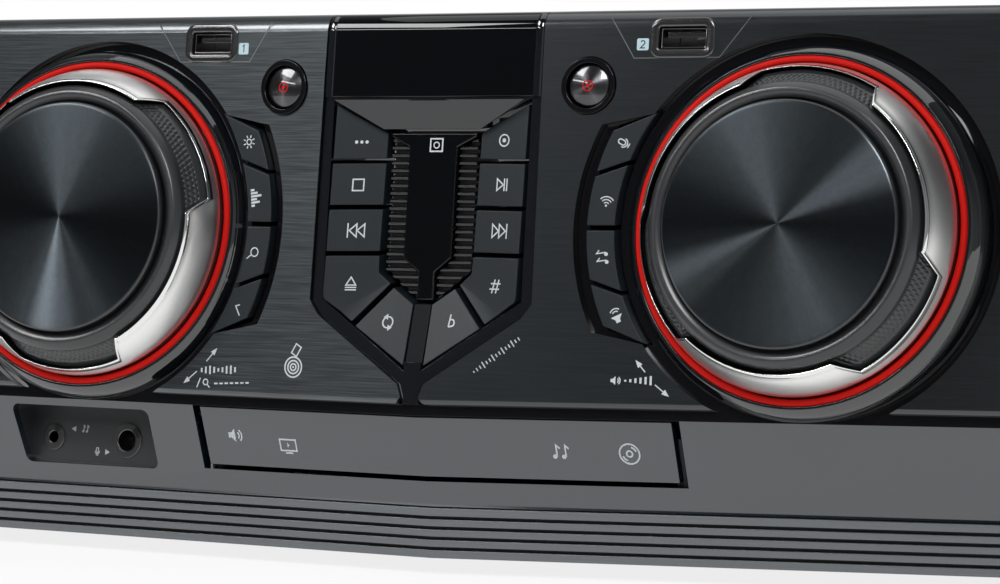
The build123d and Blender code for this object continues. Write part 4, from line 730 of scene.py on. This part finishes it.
for side, sign_x, numeral in (("left", -1, "one"), ("right", 1, "two")):
    badge_at = (sign_x * badge_x, badge_z)
    centre, way = rounded_loop(1.7, 1.65, 0.45, 5)
    printed(f"number_plate_{side}", [], [centre + way * 0.45 + badge_at], panel_y, badge_pale, "panel")
    printed(f"number_{side}", *sign(numeral, badge_at, 1.05, 0.32), panel_y, print_dark, "panel", proud=0.1)
    frame_line = np.array(scribed_corners) * (sign_x, 1)
    printed(f"scribed_frame_{side}", [(frame_line, 0.26)], [], panel_y, scribed, "panel", proud=0.04)

# Centre column: gloss black bowl with a raised border, a sloped facet under the display, and a bar between the
# lowest keys. The display window over it is one gloss lens that rolls back at the top like the panels.
rib_black = finish("rib_plastic", (0.006, 0.006, 0.007), rough=0.35, coat=0.6, coat_rough=0.12, grain=0.1)
bar_black = finish("bar_plastic", (0.007, 0.008, 0.009), rough=0.6, grain=0.1, specular=0.1)
lens_black = gloss("lens_black", (0.002, 0.0022, 0.003), 1.5, coat_rough=0.02, grain=0.05)
front_y, bar_half, bar_z = -150, 2.8, (61, 78.5)
web_x, web_z, web_back = (13, 18), (127, 129.5), 3.3


def web_setback(at):
    """How far the inner ends of the two webs beside the facet lie behind the frame's face, in mm."""
    x, y, z = np.abs(at[:, 0]), at[:, 1], at[:, 2]
    return np.where(within(x, *web_x) & within(z, *web_z) & (y < front_y), web_back, 0.0)


def bar_parts(at):
    """0 gloss frame, 1 the front of the bar between the lowest keys."""
    x, y, z = at.T
    return ((np.abs(x) < bar_half) & within(z, *bar_z) & (y < front_y)).astype(int)


eased("centre_frame", piano, width=0.4, steps=3, more=(bar_black,), setback=web_setback,
      choose=bar_parts)
eased("display_window", lens_black, width=0.35, steps=3)
eased("rib_insert", rib_black, width=0.1, steps=1)
eased("sensor_window", lens_black, width=0.2)

# Facet's face: gloss black trapezoid of the same moulding. It starts flush under the display, leans in and
# narrows downwards, and its foot turns in over the sensor window.
facet_top, facet_low, facet_wide, facet_slim = 135.9, 127.3, 30.1, 15.1
facet_front, facet_in, facet_foot = -151.0, 2.0, -147.1
down = np.array([0.0, 0.06, 0.12, 0.3, 0.5, 0.7, 0.88, 0.96, 1.0, 1.0])[:, None]
x = np.linspace(-1, 1, 25)[None, :] * (facet_wide + (facet_slim - facet_wide) * down)
y = np.repeat(facet_front + facet_in * down, x.shape[1], axis=1)
y[-1] = facet_foot
z = np.repeat(facet_top + (facet_low - facet_top) * down, x.shape[1], axis=1)
facet_black = gloss("facet_black", (0.004, 0.005, 0.0065), 1.7, coat_rough=0.05, grain=0.05)
skin("facet_face", np.stack([x, y, z], -1), facet_black, "chassis", closed=False)

# Rims beside the display: gloss black beads that run up its two sides and roll back over its top with it. Each
# is half a round, laid along the panels' face and sunk a little into the moulding.
rim_x, rim_half, rim_high, rim_sunk, rim_set, rim_low = 33.0, 1.3, 0.55, 0.12, 0.5, 136.6
top_z, roll_r, top_tilt, top_dip, under_top = 160.0, 5.5, 1.2, 0.6, 0.02
straight, bend = np.full(11, math.radians(lean)), np.radians(np.linspace(lean, 88, 16))
rolled_z = top_z - roll_r * (1 - np.sin(bend))
roll_start = rolled_z[0]
tilt = np.concatenate([straight, bend])[:, None]
path_z = np.concatenate([np.linspace(rim_low, roll_start, 12)[:-1], rolled_z])[:, None]
arch = np.radians(np.linspace(0, 180, 13))[None, :]
lift = rim_high * np.sin(arch) - rim_sunk
for side_name, side in (("left", -1), ("right", 1)):
    x = side * (rim_x + rim_half * np.cos(arch))
    rolled_back = np.where(path_z > roll_start, roll_r * (np.cos(bend[0]) - np.cos(tilt)), 0)
    y = panel_y(x, np.minimum(path_z, roll_start), rim_set) + rolled_back - lift * np.cos(tilt)
    z = np.minimum(path_z + lift * np.sin(tilt) - top_dip * (tilt > top_tilt), top_z - under_top)
    grid = np.stack(np.broadcast_arrays(x, y, z), -1)
    skin(f"display_rim_{side_name}", grid, piano, "chassis", closed=False)


# Mark on the sensor window: a plain square with a ring in it, printed in the pale grey of the panels' marks on
# the window's leaning face.
def sensor_y(x, z):
    """Depth of the sensor window's face."""
    return nose_y + sensor_set + (z - knob_z) * lean_run


sensor_set = 6.9
mark = [(shut(box(-0.85, 121.05, 2.95, 124.6)), 0.42), (circle(1.05, 122.8, 0.85), 0.35)]
printed("sensor_mark", mark, [], sensor_y, print_pale, "piano")


# Ten centre keys: caps of matt dark plastic in a shallow valley, each moulded with a stem that slides in the
# centre frame and presses a switch. Their signs are printed.
def valley_y(x, z):
    """Depth of the upper keys' faces, or of the steeper lowest ones where these stand further out."""
    upper = nose_y + upper_set + np.abs(x) * run(-11.7) + (z - knob_z) * run(12.0)
    lowest = nose_y + lowest_set + np.abs(x) * run(-4.7) + (z - lowest_z) * run(22.7)
    return np.minimum(upper, lowest)


upper_set, lowest_set, lowest_z = 9.6, -1.1, 70.0
key_black = finish("key_plastic", (0.008, 0.012, 0.0145), rough=0.45, grain=0.15, grain_scale=1600,
                   bump=0.000006, specular=0.33)
key_signs = {
    "demo_key": ("three", (-22.4, 123.7), 1.7, 0.3), "stop_key": ("stop", (-22.5, 111.5), 1.6, 0.38),
    "back_key": ("back", (-22.4, 98.6), 2.3, 0.36), "eject_key": ("eject", (-22.5, 83.6), 1.8, 0.34),
    "auto_key": ("cycle", (-9.8, 72.9), 1.9, 0.38), "function_key": ("ring", (22.8, 124.2), 1.7, 0.36),
    "play_key": ("play", (23.0, 111.8), 1.6, 0.36), "forward_key": ("forward", (23.6, 98.9), 2.3, 0.36),
    "sharp_key": ("sharp", (23.2, 83.5), 1.9, 0.38), "flat_key": ("flat", (10.4, 73.7), 1.75, 0.4)}
for name, (kind, at, size, wide) in key_signs.items():
    eased(name, key_black, width=0.3, body=name)
    printed(f"{name}_sign", *sign(kind, at, size, wide), valley_y, print_pale, "keys", body=name)


# Four keys beside each knob: the same plastic, guided in the curved slot of the front frame. Their signs are
# turned to lie along them.
def side_key_y(x, z):
    """Depth of the side keys' faces, which stand a little out of the panels."""
    return panel_y(x, z, -0.3)


side_signs = {"left": [("sun", (-59.3, 123.7), 1.9, -62), ("bars", (-55.6, 107.8), 1.8, -82),
                       ("lens", (-55.6, 91.6), 1.9, -98), ("tick", (-59.5, 75.6), 1.6, -115)],
              "right": [("voice", (59.4, 123.6), 1.7, 62), ("echo", (55.6, 107.8), 1.6, 82),
                        ("notes", (55.2, 91.8), 1.8, 98), ("speaker", (60.2, 75.8), 1.9, 115)]}
for side_name, key_marks in side_signs.items():
    for n, (kind, at, size, turn) in enumerate(key_marks, 1):
        name = f"side_key_{side_name}_{n}"
        eased(name, key_black, width=0.15, body=name)
        mark = sign(kind, at, size, 0.32, turn)
        printed(f"{name}_sign", *mark, side_key_y, print_pale, "keys", body=name)


# Signs on the lower front, printed in the same grey: pointers and signs beside the two jacks, and plain signs
# on the tray's door, which they ride with.
def fascia_y(x, z):
    """Depth of the lower fascia, which draws in downwards."""
    return nose_y + fascia_set + np.abs(x) * sweep_run - (z - fascia_top) * run(18.2)


def recess_y(x, z):
    """Depth of the jack recess's floor."""
    return nose_y + recess_set + np.abs(x) * sweep_run + (z - jack_z) * lean_run


def pointer(x, z, size):
    """Filled triangle that points along x by the sign of size."""
    return [], [np.array([(x + size, z), (x - size, z + abs(size)), (x - size, z - abs(size))])]


fascia_set, fascia_top, recess_set = -3.5, 46.7, 7.7
jack_marks = gathered(pointer(-128.5, 36.1, -0.8), sign("notes", (-124.2, 36.2), 1.15, 0.26),
                      pointer(-115.4, 29.7, 0.8), sign("voice", (-119.2, 29.9), 1.1, 0.26))
door_marks = gathered(sign("speaker", (-64.2, 38.0), 2.2, 0.45), sign("screen", (-45.8, 35.5), 2.1, 0.45),
                      sign("notes", (41.2, 37.0), 2.2, 0.45), sign("disc", (61.6, 36.9), 2.9, 0.45))
printed("jack_marks", *jack_marks, recess_y, print_pale, "keys")
printed("door_marks", *door_marks, fascia_y, print_pale, "piano", body="tray")


# Knobs: on each, a gloss black housing stands on the front frame round a red translucent light ring. In it
# turns a satin metal crown with three cut-outs, over a black grip whose knurled pads fill them, and a spun cap
# with beams of highlight painted into its colour.
def on_knob(side, r, turn, out):
    """Points at radius r and angle turn about a knob's axis, out in front of the light ring's plane."""
    r, turn, out = [each[..., None] for each in np.broadcast_arrays(r, turn, out)]
    middle = np.array([side * knob_x, knob_y, knob_z])
    return middle + r * np.cos(turn) * knob_across + r * np.sin(turn) * knob_up + out * knob_out


def turned(name, side, profile, paint, body, stands_for=(), steps=240, wrap=False, paints=(), pick=None):
    """Surface of revolution: the profile's (radius, out) points carried round the knob's axis."""
    r, out = np.array(profile, float).T[:, None, :]
    turn = np.linspace(0, 2 * np.pi, steps, endpoint=False)[:, None]
    grid = on_knob(side, r, turn, out)
    return skin(name, grid, paint, body, (True, wrap), stands_for, paints=paints, pick=pick)


def spun(name, axis_at, colour, rough, painted_highlight_beams):
    """Dark spun metal, whose highlights draw out along the radius. A ramp over the angle paints beams of
    highlight into the colour, each (degrees, half width, gain), and a noise round the axis breaks them into
    fine rays."""
    paint = finish(name, colour, rough=rough, metal=1.0, grain=0.06, grain_scale=2500, aniso=0.8)
    tree = paint.node_tree
    shader = tree.nodes["Principled BSDF"]
    uv = wired(tree, "ShaderNodeUVMap")
    uv.uv_map = "place"
    around = wired(tree, "ShaderNodeSeparateXYZ", [], [(0, uv.outputs[0])])
    angles = np.arange(0, 361, 12.0)
    painted_gains = np.ones(len(angles))
    for middle, half_wide, gain in painted_highlight_beams:
        away = (angles - middle + 180) % 360 - 180
        painted_gains += gain * np.exp(-(away / half_wide) ** 2)
    ramp = wired(tree, "ShaderNodeValToRGB", [], [(0, around.outputs["X"])])
    ramp.color_ramp.interpolation = "EASE"
    while len(ramp.color_ramp.elements) < len(angles):
        ramp.color_ramp.elements.new(0.5)
    for element, angle, gain in zip(ramp.color_ramp.elements, angles, painted_gains / painted_gains.max()):
        element.position = angle / 360
        element.color = (gain, gain, gain, 1)
    painted_beam_gain = sum_of(tree, "DIVIDE", ramp.outputs[0], float(1 / painted_gains.max()))
    place = tree.nodes.new("ShaderNodeTexCoord")
    centred = wired(tree, "ShaderNodeMapping", [("Location", [-each * mm for each in axis_at])],
                    [("Vector", place.outputs["Object"])])
    ray = vector(tree, "NORMALIZE", centred.outputs[0])
    fine = wired(tree, "ShaderNodeTexNoise", [("Scale", 14.0), ("Detail", 6.0), ("Roughness", 0.75)],
                 [("Vector", ray.outputs[0])])
    fine_gain = scaled(tree, fine.outputs["Fac"], 0.0, 1.0, 0.72, 1.28)
    lifted = vector(tree, "SCALE", shader.inputs["Base Color"].links[0].from_socket)
    tree.links.new(sum_of(tree, "MULTIPLY", fine_gain, painted_beam_gain), lifted.inputs["Scale"])
    tree.links.new(lifted.outputs[0], shader.inputs["Base Color"])
    brushed_way = tree.nodes.new("ShaderNodeTangent")
    brushed_way.direction_type = "UV_MAP"
    brushed_way.uv_map = "place"
    tree.links.new(brushed_way.outputs[0], shader.inputs["Tangent"])
    shader.inputs["Anisotropic Rotation"].default_value = 0.25
    return paint


def cone_out(r):
    """Height of the crown's face at radius r: a straight cone from skirt to inner edge, swollen between."""
    share = (skirt_r - r) / (skirt_r - crown_in)
    return crown_low + (crown_top - crown_low) * share + 4 * crown_swell * share * (1 - share)


def crown_grid(side, first_notch):
    """The crown's section carried round: the inner edge's radius steps out between the slanted ends of each
    notch, and the edge is a raised bead that follows it up and down the cone."""
    notches = first_notch + np.array([0, 120, 240])
    breaks = np.add.outer(notches, [-notch_out, -notch_in, notch_out, notch_in]).ravel() % 360
    degrees_round = np.unique(np.round(np.concatenate([np.arange(0, 360, 1.0), breaks]), 4))
    from_notches = degrees_round[:, None] - first_notch - np.array([0, 120, 240])
    away = np.abs((from_notches + 180) % 360 - 180).min(axis=1)[:, None]
    inner = np.interp(away, [notch_out, notch_in], [notch_r, crown_in])
    bead = np.where(away > notch_in, 0.95, 0.7)
    cone_r = skirt_r + (inner + bead - skirt_r) * np.linspace(0, 1, 7)
    arch = np.radians([0, 40, 80, 120, 160])
    bead_r = inner + bead / 2 + bead / 2 * np.cos(arch)
    skirt_in, ones, edge_out = skirt_r - crown_wall, np.ones_like(inner), cone_out(inner)
    under_edge = np.minimum(inner + 0.1, skirt_r - crown_wall * 0.4)
    back_r = [inner, under_edge, ones * skirt_in, ones * skirt_in, ones * skirt_r]
    back_out = [edge_out - 0.3, edge_out - 1.6, ones * (crown_low - 1.2), ones * skirt_foot, ones * skirt_foot]
    r = np.concatenate([cone_r, bead_r, *back_r], 1)
    out = np.concatenate([cone_out(cone_r), cone_out(bead_r) + bead_high * np.sin(arch), *back_out], 1)
    return on_knob(side, r, np.radians(degrees_round)[:, None], np.minimum(out, crown_top + bead_over))


def pad_grid(side, middle):
    """One knurled pad: a sector of a cone, with a smooth border and inside it rows of four-sided peaks, which
    are the lower of two slanted triangle waves. The ends slant, and the rim drops away to close the pad."""
    u, v = np.linspace(-1, 1, 193)[:, None], np.linspace(0, 1, 33)[None, :]
    across = v * pad_wide
    half = np.radians(pad_half_in + (pad_half_out - pad_half_in) * v)
    turn = math.radians(middle) + u * half
    around, slanted = np.degrees(turn) * 0.72, across * 0.95
    waves = [np.abs((each / peak_pitch) % 1 - 0.5) * 2 for each in (around + slanted, around - slanted)]
    rim_share = np.minimum((pad_wide - across) / 1.5, (across + 1.0) / 0.8)
    inset = np.minimum((1 - np.abs(u)) * half * pad_middle / 1.2, rim_share)
    field, rim = np.clip((inset - 1) * 4, 0, 1), np.clip(inset * 3.2, 0, 1)
    lift = (peak_high * np.minimum(*waves) - peak_sunk) * field - rim_drop * (1 - rim)
    r = pad_in + across
    out = pad_foot + (pad_foot_r - r) * pad_slope + lift * 0.8
    return on_knob(side, r, turn, np.minimum(out, pad_top))


knob_y, knob_across = -153.159, np.array([1.0, 0, 0])
knob_up = np.array([0, math.sin(math.radians(lean)), math.cos(math.radians(lean))])
knob_out = np.array([0, -knob_up[2], knob_up[1]])
skirt_r, skirt_foot, crown_low, crown_top = 45.7, -3.0, 1.5, 12.8
crown_in, crown_wall, crown_swell, bead_high, bead_over = 40.5, 1.4, 1.3, 0.3, 0.25
notch_r, notch_out, notch_in = 44.2, 22.0, 28.34
pad_in, pad_wide, pad_half_in, pad_half_out, pad_middle = 38.9, 4.7, 30.4, 22.4, 41
pad_foot, pad_foot_r, pad_slope, pad_top = 2.05, 45, 1.5, 11.0
peak_pitch, peak_high, peak_sunk, rim_drop = 1.6, 0.85, 0.45, 0.5
light_profile = [(46.2, -5.8), (46.2, 0.0), (46.35, 0.3), (46.8, 0.47), (47.3, 0.5), (47.7, 0.3),
                 (48.0, -0.1), (48.0, -5.8)]
housing_profile = [(48.2, -4.0), (48.2, -0.15), (48.35, 0.02), (48.7, -0.1), (49.6, -1.15), (50.5, -2.3),
                   (51.3, -3.5), (51.8, -4.6), (52.08, -6.0), (52.1, -8.0), (50.0, -8.0)]
grip_profile = [(3.1, -8.5), (6.5, -8.5), (6.5, 9.5), (36.2, 9.5), (36.2, -6.5), (39.2, -8.5), (44.6, -8.5),
                (44.6, -3.0), (43.5, -3.0), (43.5, 2.1), (39.2, 10.6), (39.2, 12.2), (38.9, 12.6),
                (37.6, 14.15), (37.2, 14.38), (36.7, 14.4), (36.2, 14.38), (35.8, 14.2), (34.8, 13.7),
                (34.6, 13.5), (34.6, 13.0), (3.1, 13.0)]
cap_profile = [(0, 13.0), (33.4, 13.0), (33.9, 13.4), (33.9, 15.2), (33.84, 15.55), (33.65, 15.85),
               (33.35, 16.05), (33.0, 16.13)]
cap_profile += [(r, 16.2 - 0.07 * r / 33) for r in (32.5, 29, 24, 19, 14, 9, 5, 2.2, 0.7, 0)]
red_glow = finish("light_red", (0.4, 0.005, 0.003), rough=0.5, grain=0.06, specular=0.1)
shader = red_glow.node_tree.nodes["Principled BSDF"]
shader.inputs["Emission Color"].default_value = (0.6, 0.012, 0.006, 1)
shader.inputs["Emission Strength"].default_value = 0.16
satin = finish("satin_metal", (0.93, 0.925, 0.91), rough=0.32, metal=1.0, grain=0.04, grain_scale=1800,
               bump=0.000004)
polished = finish("polished_edge", (0.85, 0.85, 0.84), rough=0.08, metal=1.0, grain=0.02)
grip_black = finish("grip_plastic", (0.02, 0.021, 0.023), rough=0.35, coat=0.5, coat_rough=0.2, grain=0.12)
# Painted highlights: beams of light painted into each cap's colour, each (degrees, half width, gain)
painted_highlight_beams = {"left": [(267, 9, 4.2), (300, 10, 0.8), (98, 16, 0.9), (75, 8, 0.4)],
         "right": [(29, 10, 4.0), (205, 9, 4.0), (115, 14, 0.4), (300, 14, 0.5)]}
for side_name, side, first_notch in (("left", -1, 30.6), ("right", 1, 81.8)):
    body = f"knob_{side_name}"
    eased(f"knob_housing_{side_name}", piano, width=0.4, steps=3)
    # Crown: satin cone, polished inner bead; its outer skirt in the gap by the light ring and its hidden back
    # take the grip's black as painted shade
    skin(f"crown_{side_name}", crown_grid(side, first_notch), satin, body, (True, True),
         [f"knob_ring_{side_name}"], paints=(polished, grip_black), pick=lambda a, b: np.digitize(b, (6, 13)))
    pieces = [turned(f"grip_{side_name}", side, grip_profile, grip_black, body, (), 200, True)]
    for n in range(3):
        grid = pad_grid(side, first_notch + 120 * n)
        pieces.append(skin(f"pad_{side_name}_{n}", grid, grip_black, body, closed=False))
    joined(pieces, f"knurled_grip_{side_name}", body, [f"knob_grip_{side_name}"])
    middle, cap_grey = (side * knob_x, knob_y, knob_z), (0.036, 0.042, 0.047)
    metal = spun(f"spun_cap_{side_name}", middle, cap_grey, 0.3, painted_highlight_beams[side_name])
    turned(f"cap_{side_name}", side, cap_profile, metal, body, [f"knob_cap_{side_name}"], steps=256,
           paints=(grip_black,), pick=lambda a, b: (b < 6).astype(int))
    turned(f"housing_face_{side_name}", side, housing_profile, piano, "chassis", wrap=True)
light = [turned(f"light_{side}", side, light_profile, red_glow, "chassis", wrap=True)
         for side in (-1, 1)]
joined(light, "red_light_rings", "chassis", ["light_rings"])


# Round buttons: small spun discs with beams of highlight painted into their colour, under a clear domed front,
# each with a ring printed on it. They slide in the gloss black rims of the front frame.
def button_mark_y(x, z):
    """Depth of the ring printed on a button's dome."""
    return panel_y(x, z, -0.66)


button_x, button_z, dome_r, dome_high = 48.3, 139.5, 5.7, 0.55
button_profile = [(0, -24.0), (5.6, -24.0), (5.8, -1.0), (5.75, -0.62)]
dome_rings = (5.5, 5.0, 4.2, 3.3, 2.4, 1.5, 0.7, 0.0)
button_profile += [(r, dome_high * (1 - 2 * (r / dome_r) ** 2)) for r in dome_rings]
# Painted highlights on the buttons' discs: beams of light painted into their colour, as on the caps
button_painted_highlight_beams = {"left": [(95, 14, 0.8), (265, 12, 0.8)],
                "right": [(28, 14, 2.0), (205, 14, 2.0), (120, 12, 0.5), (300, 12, 0.6)]}
r, out = np.array(button_profile).T[:, None, :]
turn = np.linspace(0, 2 * np.pi, 96, endpoint=False)[:, None]
for side_name, side in (("left", -1), ("right", 1)):
    axis_at = (side * button_x, panel_y(button_x, button_z), button_z)
    metal = spun(f"spun_button_{side_name}", axis_at, (0.06, 0.06, 0.063), 0.35, button_painted_highlight_beams[side_name])
    shader = metal.node_tree.nodes["Principled BSDF"]
    shader.inputs["Coat Weight"].default_value = 1.0
    shader.inputs["Coat IOR"].default_value = 1.55
    x, z = side * button_x + r * np.cos(turn), button_z + r * np.sin(turn)
    node_name = f"round_button_{side_name}"
    grid = np.stack([x, panel_y(x, z, -0.1) - out, z], -1)
    skin(f"domed_button_{side_name}", grid, metal, node_name, (True, False), [node_name])
    mark = sign("ring", (side * button_x, button_z), 1.5, 0.3)
    printed(f"button_mark_{side_name}", *mark, button_mark_y, red_glow, "button", body=node_name, proud=0.05)
